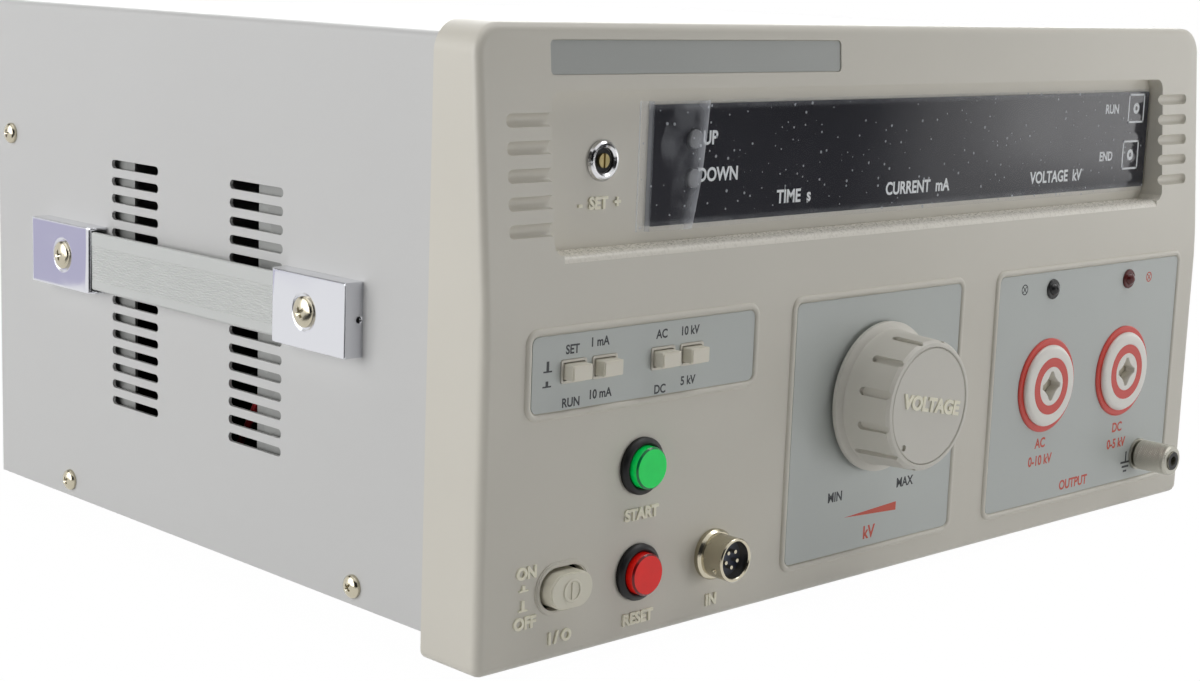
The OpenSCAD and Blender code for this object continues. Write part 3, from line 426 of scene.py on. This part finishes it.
def clear_film_dust_and_sheen(name):
    """Protective film, whose alpha adds up a painted sheen where it bends or ends, and the dust it
    holds.
    """
    material, tree, shader, place = start_material(name, IOR=1.3, Roughness=0.3)
    shader.inputs["Base Color"].default_value = linear("#e6eaf2")
    plus = partial(calc, tree, "ADD")
    minus = partial(calc, tree, "SUBTRACT")
    times = partial(calc, tree, "MULTIPLY")
    rise = partial(ramp, tree)

    across, _, up = add(tree, "ShaderNodeSeparateXYZ", {0: place}).outputs
    x = calc(tree, "DIVIDE", across, MM)
    d = minus(calc(tree, "DIVIDE", up, MM), KEYS_Z)
    wave = noise(tree, place, 9)
    bent = plus(x, times(wave, EDGE_WANDER))

    lean = minus(times(d, FOLD_LEAN), times(times(d, d), FOLD_CURVE))
    past_fold = minus(plus(lean, FOLD_X), bent)
    fold = times(rise(past_fold, 0, 0.7), rise(past_fold, 8.0, 2.0))
    crest_sheen = times(rise(past_fold, 0, 0.4), rise(past_fold, 1.6, 0.6))

    lower = minus(d, BLISTER_Z)
    bulge = calc(tree, "MINIMUM", times(times(lower, lower), BLISTER_CURVE), BLISTER_REACH)
    past_blister = minus(bent, plus(bulge, BLISTER_X))
    blister = times(rise(past_blister, 0, 0.8), rise(past_fold, 0, 0.5))
    blister = times(blister, rise(wave, 0.25, 0.7))

    border = times(rise(calc(tree, "ABSOLUTE", d), *BORDER_D), wave)
    flap = rise(x, *FLAP_X)
    rim = plus(rise(x, *RIM_X), times(flap, rise(x, *STEP_X)))

    flat = add(tree, "ShaderNodeCombineXYZ", {0: across, 1: up})
    cells = add(tree, "ShaderNodeTexVoronoi",
                {"Vector": flat.outputs[0], "Scale": per_mm(DUST_EVERY)}, voronoi_dimensions="2D")
    rarity = add(tree, "ShaderNodeSeparateColor", {0: cells.outputs["Color"]}).outputs[0]
    reach = times(calc(tree, "POWER", rarity, 6.0), 0.2)
    dust = rise(minus(reach, cells.outputs["Distance"]), -0.02, 0.04)

    # Bends and edges add whitish cover as painted sheen; the dust adds real specks.
    cover = VEIL
    for part, weight in ((fold, 0.26), (crest_sheen, 0.14), (blister, 0.13), (border, 0.2),
                         (flap, 0.1), (rim, 0.32), (dust, 0.4)):
        cover = plus(times(part, weight), cover)
    tree.links.new(cover, shader.inputs["Alpha"])
    return material


# %% The finishes of this object
FINISH = {
    "bezel": moulded("grey_abs", "#d8d4c9", rough=0.4),
    # A lighter copy of the bezel for the lower edge of the recess: a painted highlight. Its lower
    # roughness gives a real sheen.
    "lip": moulded("lip_abs", "#ede9de", depth=0.002, rough=0.28),
    "knob": moulded("knob_abs", "#d8d5cc", grain=0.7),
    "cream": moulded("cream_abs", "#ece7d8", grain=0.6, rough=0.4),
    "button": moulded("button_abs", "#ebe7d6", grain=0.6),
    "key": moulded("key_abs", "#6a6c70", grain=0.6, rough=0.4),
    "black": moulded("black_nylon", "#0e0e10", grain=0.6, rough=0.42, ior=1.38),
    "navy": moulded("navy_nylon", "#16233c", grain=0.6, rough=0.4),
    "white": moulded("white_insulator", "#f4f1ea", grain=1.5, depth=0.004, rough=0.3),
    "red": moulded("red_insulator", "#d9463a", grain=1.5, depth=0.004, rough=0.32),
    "contact": moulded("tinned_contact", "#cdc6b4", grain=1.5, rough=0.34),
    "strap": moulded("strap_vinyl", "#cdcfcd", grain=4.0, depth=0.001, rough=0.52),
    "rubber": moulded("foot_rubber", "#222222", grain=1.2, depth=0.03, rough=0.75),
    "bakelite": moulded("base_bakelite", "#4a3728", grain=2.5, rough=0.35, tint=0.2),
    "board": moulded("board_mask", "#1c5236", grain=1.0, rough=0.35),
    "wire": moulded("wire_vinyl", "#b3262a", grain=1.0, rough=0.4),
    # The start and reset caps glow a little, though no lamp is behind them: painted light.
    "green_cap_painted_glow": translucent("green_acrylic_painted_glow", "#00fb6c", glow=0.07),
    # The darker edge finishes are painted shade for the rims of the caps.
    "green_edge_painted_shade": translucent("green_edge_painted_shade", "#0c8a4e"),
    "red_cap_painted_glow": translucent("red_acrylic_painted_glow", "#ff1a10", glow=0.07),
    "red_edge_painted_shade": translucent("red_edge_painted_shade", "#8c1619"),
    "lamp_dark": translucent("smoked_lens", "#2a2a2b", rough=0.1),
    "lamp_red": translucent("red_lens", "#5f201f", rough=0.1),
    "cover": stove_paint("cover_paint", "#cfcfce"),
    "rear": stove_paint("rear_paint", "#c4c4c2"),
    "chassis": spangled("zinc_sheet", "#a2a3a1"),
    "core": moulded("varnished_steel", "#55575a", grain=2.0, rough=0.4, tint=0.12),
    "chrome": plated("chrome_plate", "#dadbe0", 0.07, smear=0.04, streak=(14, 14, 14), edge=1.1),
    "collar": plated("collar_chrome", "#d4d4d6", 0.2, streak=(6, 6, 6)),
    "nickel": plated("nickel_plate", "#bfb8a4", 0.22, streak=(3, 3, 3)),
    "satin": plated("satin_nickel_plate", "#aeaca2", 0.38, streak=(3, 3, 3)),
    "brass": plated("contact_brass", "#b5a678", 0.36, streak=(3, 3, 3)),
    "copper": plated("enamelled_copper", "#a4592c", 0.3, streak=(40, 1.2, 40)),
    "plate": printed_sheet("plate_sheet", "#aeb1ae"),
    "label": printed_sheet("label_sheet", "#c1c6c3"),
    "window": smoked_acrylic("smoked_window", "#2b2b31"),
    "film": clear_film_dust_and_sheen("clear_film_dust_and_sheen"),
    "ink_dark": ink("dark_ink", "#33363a"),
    "ink_red": ink("red_ink", "#d2553f"),
    "ink_white": ink("white_ink", "#f0f3f6"),
    # The raised letters are drawn near white: partly their own cream paint, partly a painted
    # highlight on their tops.
    "relief_paint_and_highlight": ink("cream_paint_and_highlight", "#fffbe6", rough=0.45),
}
print("finishes:", len(FINISH))

# %% [markdown]
# ## Dressing the solids
# A solid from the frame keeps its shape and gets its finish. A sharp machined edge never looks
# real, because it catches no light, so a Weld joins the loose triangles and a narrow Bevel breaks
# the edges. Weighted normals keep the flat faces flat.

# %% Finish and edge of every solid
WEARS = {
    "bezel": ["front_bezel"],
    "knob": ["regulator_knob", "knob_disc"],
    "button": ["power_cap"],
    "cream": ["range_cap_1", "range_cap_2", "range_cap_3", "range_cap_4", "range_switch_bodies"],
    "key": ["timer_up_key", "timer_down_key"],
    "black": ["digit_modules", "preset_pot", "power_switch_body", "start_housing", "reset_housing",
              "button_nuts", "mains_inlet", "fuse_drawer"],
    "navy": ["connector_insert"],
    "white": ["ac_socket", "dc_socket"],
    "red": ["socket_flanges", "socket_rings"],
    "strap": ["handle_straps"],
    "rubber": ["rubber_feet"],
    "bakelite": ["regulator_base"],
    "board": ["display_board", "main_board"],
    "wire": ["mains_lead"],
    "green_cap_painted_glow": ["start_cap"],
    "red_cap_painted_glow": ["reset_cap"],
    "lamp_dark": ["ready_lamp"],
    "lamp_red": ["voltage_lamp"],
    "cover": ["top_cover"],
    "rear": ["rear_panel"],
    "chassis": ["bottom_chassis", "front_subpanel"],
    "core": ["transformer_core"],
    "chrome": ["handle_caps"],
    "collar": ["preset_collar"],
    "nickel": ["bezel_screws", "cover_screws", "handle_screws", "foot_screws", "connector_shell",
               "connector_contacts", "regulator_shaft"],
    "contact": ["socket_contacts"],
    "satin": ["earth_stud", "earth_thumb_nut"],
    "brass": ["brush_arm", "preset_shaft"],
    "copper": ["regulator_winding", "transformer_coil"],
    "plate": ["name_plate"],
    "label": ["switch_label", "knob_label", "output_label"],
    "window": ["display_window"],
}
EDGE_MM = {"front_bezel": 0.45, "handle_caps": 0.5, "power_cap": 0.5, "regulator_knob": 0.3,
           "range_cap_1": 0.35, "range_cap_2": 0.35, "range_cap_3": 0.35, "range_cap_4": 0.35,
           "start_housing": 0.3, "reset_housing": 0.3, "start_cap": 0.3, "reset_cap": 0.3,
           "connector_shell": 0.15, "ac_socket": 0.3, "dc_socket": 0.3, "mains_inlet": 0.4,
           "fuse_drawer": 0.4, "rear_panel": 0.3}
SHARP = math.radians(32)


def soften(solid, width):
    """Breaks the sharp edges of a solid by a bevel of that width, in metres."""
    solid.data.polygons.foreach_set("use_smooth", [True] * len(solid.data.polygons))
    solid.modifiers.new("weld", "WELD").merge_threshold = 0.001 * MM
    bevel = solid.modifiers.new("edge", "BEVEL")
    bevel.width = width
    bevel.segments = 3
    bevel.limit_method = "ANGLE"
    bevel.angle_limit = SHARP
    bevel.use_clamp_overlap = True
    solid.modifiers.new("shade", "WEIGHTED_NORMAL").keep_sharp = True


for finish, names in WEARS.items():
    for name in names:
        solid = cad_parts[name]
        solid.data.materials.clear()
        solid.data.materials.append(FINISH[finish])
for name, width in EDGE_MM.items():
    soften(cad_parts[name], width * MM)
print("dressed", sum(len(names) for names in WEARS.values()), "solids")


# %% Places on the panel
FACE_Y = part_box("knob_label")[1].y
LABEL_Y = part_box("knob_label")[0].y
WINDOW_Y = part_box("display_window")[0].y
RECESS_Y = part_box("display_window")[1].y
PANEL_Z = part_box("front_bezel")[0].z


def on_panel(x, z, y):
    """The point x mm right of the panel's middle and z mm above its foot, in the plane y."""
    return Vector((x * MM, y, PANEL_Z + z * MM))


# %% Faces that differ on one solid
CAP_SKIN = Vector((1.0, 1.0, 0.8)) * MM
LIP_Z = (123, 131)
LIP_HALF_WIDTH = 173
LIP_RISE = 0.15
SOCKET_END = 0.2
CHAMFER = (-0.95, -0.3)


def paint_faces(name, finish, test):
    """Gives a second finish to the faces of a solid whose middle and normal pass a test."""
    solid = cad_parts[name]
    solid.data.materials.append(FINISH[finish])
    for face in solid.data.polygons:
        if test(face.center, face.normal):
            face.material_index = 1


cap_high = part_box("handle_caps")[1]
cap_middle = (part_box("handle_caps")[0] + cap_high) / 2
cap_inside = cap_high - cap_middle - CAP_SKIN
stud_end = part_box("earth_stud")[0].y
# The faces inside the chrome caps get the black finish: painted shade for the dark mouths of the
# caps round the straps.
paint_faces("handle_caps", "black",
            lambda at, _: all(abs(at[i] - cap_middle[i]) < cap_inside[i] for i in range(3)))
# The upward faces along the lower edge of the recess get the lighter finish, a painted highlight.
paint_faces("front_bezel", "lip",
            lambda at, out: out.z > LIP_RISE and abs(at.x) < LIP_HALF_WIDTH * MM
            and LIP_Z[0] * MM < at.z - PANEL_Z < LIP_Z[1] * MM)
paint_faces("earth_stud", "black", lambda at, _: at.y < stud_end + SOCKET_END * MM)
# The chamfers of the start and reset caps get a darker copy of their colour: painted shade.
for name, finish in (("start_cap", "green_edge_painted_shade"), ("reset_cap", "red_edge_painted_shade")):
    paint_faces(name, finish, lambda _, out: CHAMFER[0] < out.y < CHAMFER[1])

# %% [markdown]
# ## Small pieces that only the eye needs
# Each one starts as a primitive, is shaped in its mesh and then set on the panel. The planes of
# the panel were read from the solids, so a legend lies on the very sheet that it is printed on.


# %% Joining
def join(parts, name, finish, body="case"):
    """Joins the parts into one piece with one finish, which rides on a body."""
    bpy.ops.object.select_all(action="DESELECT")
    for part in parts:
        part.select_set(True)
    bpy.context.view_layer.objects.active = parts[0]
    bpy.ops.object.join()
    piece = bpy.context.object
    piece.name = name
    piece.data.materials.clear()
    piece.data.materials.append(FINISH[finish])
    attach(piece, body)
    return piece


# %% Turned pieces: screw heads and the thumb nut
def lathe(profile, steps, ripple=None):
    """Turns (radius, height) points, in millimetres, about the Z axis.

    The grid's columns become the turn and its rows the profile. A ripple takes the turn, the
    radius and the height, and gives the depth by which the radius is cut there.
    """
    rows = len(profile) - 1
    made = fresh(bpy.ops.mesh.primitive_grid_add, x_subdivisions=steps, y_subdivisions=rows, size=2)
    for vertex in made.data.vertices:
        turn = (vertex.co.x + 1) * math.pi
        radius, height = profile[round((vertex.co.y + 1) / 2 * rows)]
        if ripple:
            radius -= ripple(turn, radius, height)
        vertex.co = Vector((radius * math.cos(turn), radius * math.sin(turn), height)) * MM
    bpy.ops.object.mode_set(mode="EDIT")
    bpy.ops.mesh.select_all(action="SELECT")
    bpy.ops.mesh.remove_doubles(threshold=0.001 * MM)
    bpy.ops.mesh.normals_make_consistent(inside=False)
    bpy.ops.object.mode_set(mode="OBJECT")
    return made


def screw_head(radius, height):
    """A round head with a cross recess. Its seat is at the origin and it looks along +Z."""
    rim = 0.22 * height
    arc = [math.radians(a) for a in range(0, 91, 10)]
    dome = [(radius * math.cos(a), rim + (height - rim) * math.sin(a)) for a in arc]
    head = lathe([(0, 0), (radius, 0)] + dome, 64)
    span, width = 0.96 * radius * MM, 0.2 * radius * MM
    for quarter in (0, 1):
        blade = fresh(bpy.ops.mesh.primitive_cube_add, size=2)
        for vertex in blade.data.vertices:
            narrow = 0.35 if vertex.co.z < 0 else 1.0
            vertex.co = Vector((vertex.co.x * span / 2 * narrow, vertex.co.y * width / 2,
                                (0.75 + 0.4 * vertex.co.z) * height * MM))
        blade.data.transform(Matrix.Rotation(quarter * math.pi / 2, 4, "Z"))
        cut = head.modifiers.new("cross", "BOOLEAN")
        cut.operation = "DIFFERENCE"
        cut.object = blade
        bpy.context.view_layer.objects.active = head
        bpy.ops.object.modifier_apply(modifier="cross")
        bpy.data.objects.remove(blade)
    bevel = head.modifiers.new("edge", "BEVEL")
    bevel.width = 0.02 * radius * MM
    bevel.angle_limit = math.radians(40)
    bpy.context.view_layer.objects.active = head
    bpy.ops.object.modifier_apply(modifier="edge")
    head.select_set(True)
    bpy.ops.object.shade_smooth_by_angle(angle=math.radians(40))
    return head


def twin(piece, place, out, spin):
    """A copy of a piece that stands at a place, looks along out and is turned by spin."""
    made = piece.copy()
    made.data = piece.data.copy()
    bpy.context.collection.objects.link(made)
    facing = Vector(out).to_track_quat("Z", "Y").to_matrix().to_4x4()
    made.data.transform(Matrix.Translation(place) @ facing @ Matrix.Rotation(spin, 4, "Z"))
    return made


CAP_SCREW = (5.2, 2.3)
COVER_SCREW = (4.0, 2.6)
COVER_SCREWS_AT = ((66.7, 13.6), (245.2, 13.6), (287.8, 144.3))
rng = random.Random(7)

screws_low, screws_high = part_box("handle_screws")
cap_head = screw_head(*CAP_SCREW)
cap_heads = []
for side in (-1, 1):
    for y in (screws_low.y + CAP_SCREW[0] * MM, screws_high.y - CAP_SCREW[0] * MM):
        seat = Vector((side * (screws_high.x - CAP_SCREW[1] * MM), y,
                       (screws_low.z + screws_high.z) / 2))
        cap_heads.append(twin(cap_head, seat, (side, 0, 0), rng.uniform(0, math.pi / 2)))
bpy.data.objects.remove(cap_head)
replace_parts(join(cap_heads, "cap_screw_heads", "nickel"), "handle_screws")

cover_head = screw_head(*COVER_SCREW)
cover_heads = []
for side in (-1, 1):
    for y, z in COVER_SCREWS_AT:
        seat = Vector((side * (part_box("cover_screws")[1].x - COVER_SCREW[1] * MM),
                       FACE_Y + y * MM, PANEL_Z + z * MM))
        cover_heads.append(twin(cover_head, seat, (side, 0, 0), rng.uniform(0, math.pi / 2)))
bpy.data.objects.remove(cover_head)
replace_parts(join(cover_heads, "cover_screw_heads", "nickel"), "cover_screws")

EARTH = (166.5, 21.8)
NUT_BORE, NUT_EDGE, NUT_RADIUS = 4, 5.8, 6.4
NUT_BACK, NUT_FRONT = 2.2, 17.2
BARREL_FROM, BARREL_LENGTH, BARREL_ROWS = 2.8, 13.4, 48
KNURL_TEETH = 40
KNURL_DEPTH = 0.32


def knurl(turn, radius, height):
    """Depth of a diamond knurl: two sets of grooves that cross, on the barrel only."""
    if radius < NUT_RADIUS:
        return 0
    around = turn * KNURL_TEETH / math.tau
    along = height * KNURL_TEETH / (math.tau * NUT_RADIUS)
    first, second = (abs((around + s * along) % 1 - 0.5) * 2 for s in (-1, 1))
    return KNURL_DEPTH * max(first, second)


barrel = [(NUT_RADIUS, BARREL_FROM + BARREL_LENGTH * i / BARREL_ROWS)
          for i in range(BARREL_ROWS + 1)]
nut_profile = [(NUT_BORE, NUT_BACK), (NUT_EDGE, NUT_BACK), *barrel,
               (NUT_EDGE, NUT_FRONT), (NUT_BORE, NUT_FRONT), (NUT_BORE, NUT_BACK)]
nut = lathe(nut_profile, 4 * KNURL_TEETH, knurl)
nut.data.transform(Matrix.Translation(on_panel(*EARTH, FACE_Y))
                   @ Matrix.Rotation(math.pi / 2, 4, "X"))
nut.select_set(True)
bpy.ops.object.shade_smooth_by_angle(angle=math.radians(28))
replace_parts(join([nut], "knurled_thumb_nut", "satin", "earth_nut"), "earth_thumb_nut")
print("turned pieces: screws and the thumb nut")

# %% [markdown]
# ## Legends
# Letters moulded in the bezel stand a little proud of it, and letters printed on a label have
# only the thickness of the ink. All marks are made the same way and then joined by colour.


# %% Marks
CAPITAL_SHARE = 0.69
TRIANGLE = (1.732, 1.5)


def stand_up(mark, x, z, y, thick):
    """Turns a flat mark to face the front, with its middle at x, z and its back at the plane y."""
    mark.data.transform(Matrix.Rotation(math.pi / 2, 4, "X"))
    spans = zip(*(v.co for v in mark.data.vertices))
    middle = Vector([(min(span) + max(span)) / 2 for span in spans])
    mark.data.transform(Matrix.Translation(on_panel(x, z, y - thick * MM / 2) - middle))
    return mark


def word(text, x, z, y, height, thick, squeeze=0.92, bold=0.028):
    """A word with capitals of that height, in millimetres."""
    lettering = fresh(bpy.ops.object.text_add).data
    lettering.body = text
    lettering.size = height * MM / CAPITAL_SHARE
    lettering.extrude = thick * MM / 2
    lettering.offset = bold * lettering.size
    lettering.resolution_u = 4
    bpy.ops.object.convert(target="MESH")
    made = bpy.context.object
    made.data.transform(Matrix.Diagonal((squeeze, 1, 1, 1)))
    return stand_up(made, x, z, y, thick)


def stroke(x, z, y, thick, width, height, slant=0):
    """A straight stroke, turned by slant degrees."""
    made = fresh(bpy.ops.mesh.primitive_cube_add, size=1)
    made.data.transform(Matrix.Rotation(math.radians(slant), 4, "Z")
                        @ Matrix.Diagonal((width * MM, height * MM, thick * MM, 1)))
    return stand_up(made, x, z, y, thick)


def loop(x, z, y, thick, radius, width):
    """A round ring."""
    made = fresh(bpy.ops.mesh.primitive_torus_add, major_radius=radius * MM,
                 minor_radius=width * MM / 2, major_segments=40, minor_segments=8)
    made.data.transform(Matrix.Diagonal((1, 1, thick / width, 1)))
    return stand_up(made, x, z, y, thick)


def wedge(x, z, y, thick, width, height, turn=0):
    """A triangle that points up before its turn in degrees."""
    made = fresh(bpy.ops.mesh.primitive_cylinder_add, vertices=3, radius=1, depth=1)
    made.data.transform(Matrix.Rotation(math.radians(turn), 4, "Z") @ Matrix.Diagonal(
        (width * MM / TRIANGLE[0], height * MM / TRIANGLE[1], thick * MM, 1)))
    return stand_up(made, x, z, y, thick)


def push_mark(x, z, y, thick, post):
    """The mark for a push switch that is in or out: a post on a base line."""
    return [stroke(x, z - 1.0, y, thick, 3.6, 0.5),
            stroke(x, z - 0.75 + post / 2, y, thick, 1.1, post)]


def lamp_mark(x, z, y, thick, radius):
    """The mark for a lamp: a ring with a cross in it."""
    return [loop(x, z, y, thick, radius, 0.45)] + [
        stroke(x, z, y, thick, 2 * radius, 0.4, slant) for slant in (45, -45)]


# %% Moulded letters
# The near-white colour of these letters is partly cream paint and partly a painted highlight.
RELIEF = 0.6
MOULDED = (3.6, RELIEF, 1.0, 0.045)
PUSHED_POST, RAISED_POST = 1.5, 3.0
moulded_marks = [word(text, x, z, FACE_Y, *MOULDED) for text, x, z in (
    ("ON", -182.5, 31.1), ("OFF", -182.7, 15.0), ("I / O", -167.5, 7.8), ("START", -132.6, 42.5),
    ("RESET", -132.5, 7.3), ("IN", -97.4, 6.9))]
moulded_marks += push_mark(-183.6, 26.5, FACE_Y, RELIEF, PUSHED_POST)
moulded_marks += push_mark(-183.7, 20.1, FACE_Y, RELIEF, RAISED_POST)
moulded_marks += [word("-  SET  +", -145.1, 143.1, RECESS_Y, *MOULDED)]
join(moulded_marks, "moulded_letters", "relief_paint_and_highlight")

POWER = (-166.6, 23.6)
POWER_RELIEF = 0.4
power_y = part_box("power_cap")[0].y
power_marks = [loop(*POWER, power_y, POWER_RELIEF, 3.4, 0.9),
               stroke(*POWER, power_y, POWER_RELIEF, 0.9, 5.5)]
join(power_marks, "power_mark", "button", "power_button")

DISC_WORD = (-12.2, 68.2)
DISC_WORD_TURN = math.radians(11)
disc_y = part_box("knob_disc")[0].y
disc_word = word("VOLTAGE", *DISC_WORD, disc_y, 4.7, 0.5, 1.08, 0.045)
middle = on_panel(*DISC_WORD, disc_y)
disc_word.data.transform(Matrix.Translation(middle) @ Matrix.Rotation(DISC_WORD_TURN, 4, "Y")
                         @ Matrix.Translation(-middle))
join([disc_word], "knob_word", "relief_paint_and_highlight", "regulator")

# %% Printed letters
PRINT = 0.03
LAMP_MARK_RADIUS = 1.9
dark_marks = [word(text, x, z, LABEL_Y, 2.8, PRINT) for text, x, z in (
    ("SET", -166.1, 100.1), ("1 mA", -154.1, 101.4), ("AC", -126.7, 101.1),
    ("10 kV", -113.2, 101.1), ("RUN", -166.2, 83.3), ("10 mA", -153.3, 84.7),
    ("DC", -126.6, 83.0), ("5 kV", -113.5, 84.5))]
dark_marks += [word(text, x, 33, LABEL_Y, 3.4, PRINT) for text, x in (("MIN", -34), ("MAX", 6.4))]
dark_marks += push_mark(-176.4, 94.9, LABEL_Y, PRINT, RAISED_POST)
dark_marks += push_mark(-176.6, 90.2, LABEL_Y, PRINT, PUSHED_POST)
dark_marks += lamp_mark(75.1, 99.2, LABEL_Y, PRINT, LAMP_MARK_RADIUS)

EARTH_MARK_X = 157.8
EARTH_LINE = 0.9
dark_marks += [stroke(EARTH_MARK_X, 21.6, LABEL_Y, PRINT, EARTH_LINE, 4.4)]
dark_marks += [stroke(EARTH_MARK_X, 19.2 - 1.9 * i, LABEL_Y, PRINT, 7.4 - 2.4 * i, EARTH_LINE)
               for i in range(3)]
join(dark_marks, "dark_print", "ink_dark")

REGULATOR_X = -13.3
red_marks = [word("kV", REGULATOR_X, 16.9, LABEL_Y, 4.6, PRINT),
             wedge(REGULATOR_X, 24.4, LABEL_Y, PRINT, 3.2, 30, 90)]
red_marks += [word(text, x, z, LABEL_Y, 3.8, PRINT) for text, x, z in (
    ("AC", 93.1, 36), ("0-10 kV", 94, 28.9), ("DC", 149.1, 35.5), ("0-5 kV", 149.3, 28.6),
    ("OUTPUT", 119.1, 16.2))]
red_marks += lamp_mark(164.5, 97.6, LABEL_Y, PRINT, LAMP_MARK_RADIUS)
join(red_marks, "red_print", "ink_red")

# %% Letters on the window, under the film
FRAME_SIZE, FRAME_LINE = 12, 0.8
FRAME_REACH = (FRAME_SIZE - FRAME_LINE) / 2
white_marks = [word(text, x, z, WINDOW_Y, 4.4, PRINT) for text, x, z in (
    ("UP", -95.9, 162.4), ("DOWN", -91.5, 150.2), ("TIME  s", -52.3, 141),
    ("CURRENT  mA", 17.8, 141), ("VOLTAGE  kV", 107.2, 141))]
for x, z, text in ((162.3, 166.9, "RUN"), (160.2, 147.7, "END")):
    for s in (-1, 1):
        white_marks += [
            stroke(x + s * FRAME_REACH, z, WINDOW_Y, PRINT, FRAME_LINE, FRAME_SIZE),
            stroke(x, z + s * FRAME_REACH, WINDOW_Y, PRINT, FRAME_SIZE, FRAME_LINE)]
    white_marks += [loop(x, z, WINDOW_Y, PRINT, 1.6, 1.4),
                    word(text, x - 18, z, WINDOW_Y, 3.6, PRINT)]
join(white_marks, "window_print", "ink_white")
print("legends:", len(moulded_marks) + len(dark_marks) + len(red_marks) + len(white_marks), "marks")

# %% [markdown]
# ## The clear film
# The window still wears the film it was shipped with. A fine grid lies on the window, stands off
# over the two keys, and at the left steps down to the floor of the recess.

# %% Film over the window
FILM_LOW = Vector((-128.4, 132.7))
FILM_HIGH = Vector((171.4, 174.8))
KEY_PROUD = 1.5
CLING = 0.06
STEP_FROM, STEP_SLOPE, STEP_GAP = -123.6, 1.2, 0.15
FOLD_STEEP = 7


def film_lift(x, z):
    """How far the film stands off the window, in millimetres."""
    d = z + PANEL_Z / MM - KEYS_Z
    fold = FOLD_X - EDGE_WANDER / 2 + FOLD_LEAN * d - FOLD_CURVE * d * d
    bulge = min(BLISTER_CURVE * (d - BLISTER_Z) ** 2, BLISTER_REACH)
    blister = BLISTER_X - EDGE_WANDER / 2 + bulge
    if x < STEP_FROM:
        return max((WINDOW_Y - RECESS_Y) / MM + STEP_GAP, STEP_SLOPE * (x - STEP_FROM) + CLING)
    across = (x - blister) / (fold - blister)
    if not 0 < across < 1:
        return CLING
    return CLING + KEY_PROUD * min(across ** 0.6, (1 - across) * FOLD_STEEP, 1.0)


film = fresh(bpy.ops.mesh.primitive_grid_add, x_subdivisions=300, y_subdivisions=42, size=1)
for vertex in film.data.vertices:
    x = FILM_LOW.x + (vertex.co.x + 0.5) * (FILM_HIGH.x - FILM_LOW.x)
    z = FILM_LOW.y + (vertex.co.y + 0.5) * (FILM_HIGH.y - FILM_LOW.y)
    vertex.co = on_panel(x, z, WINDOW_Y - film_lift(x, z) * MM)
bpy.ops.object.shade_smooth()
join([film], "window_film", "film").visible_shadow = False
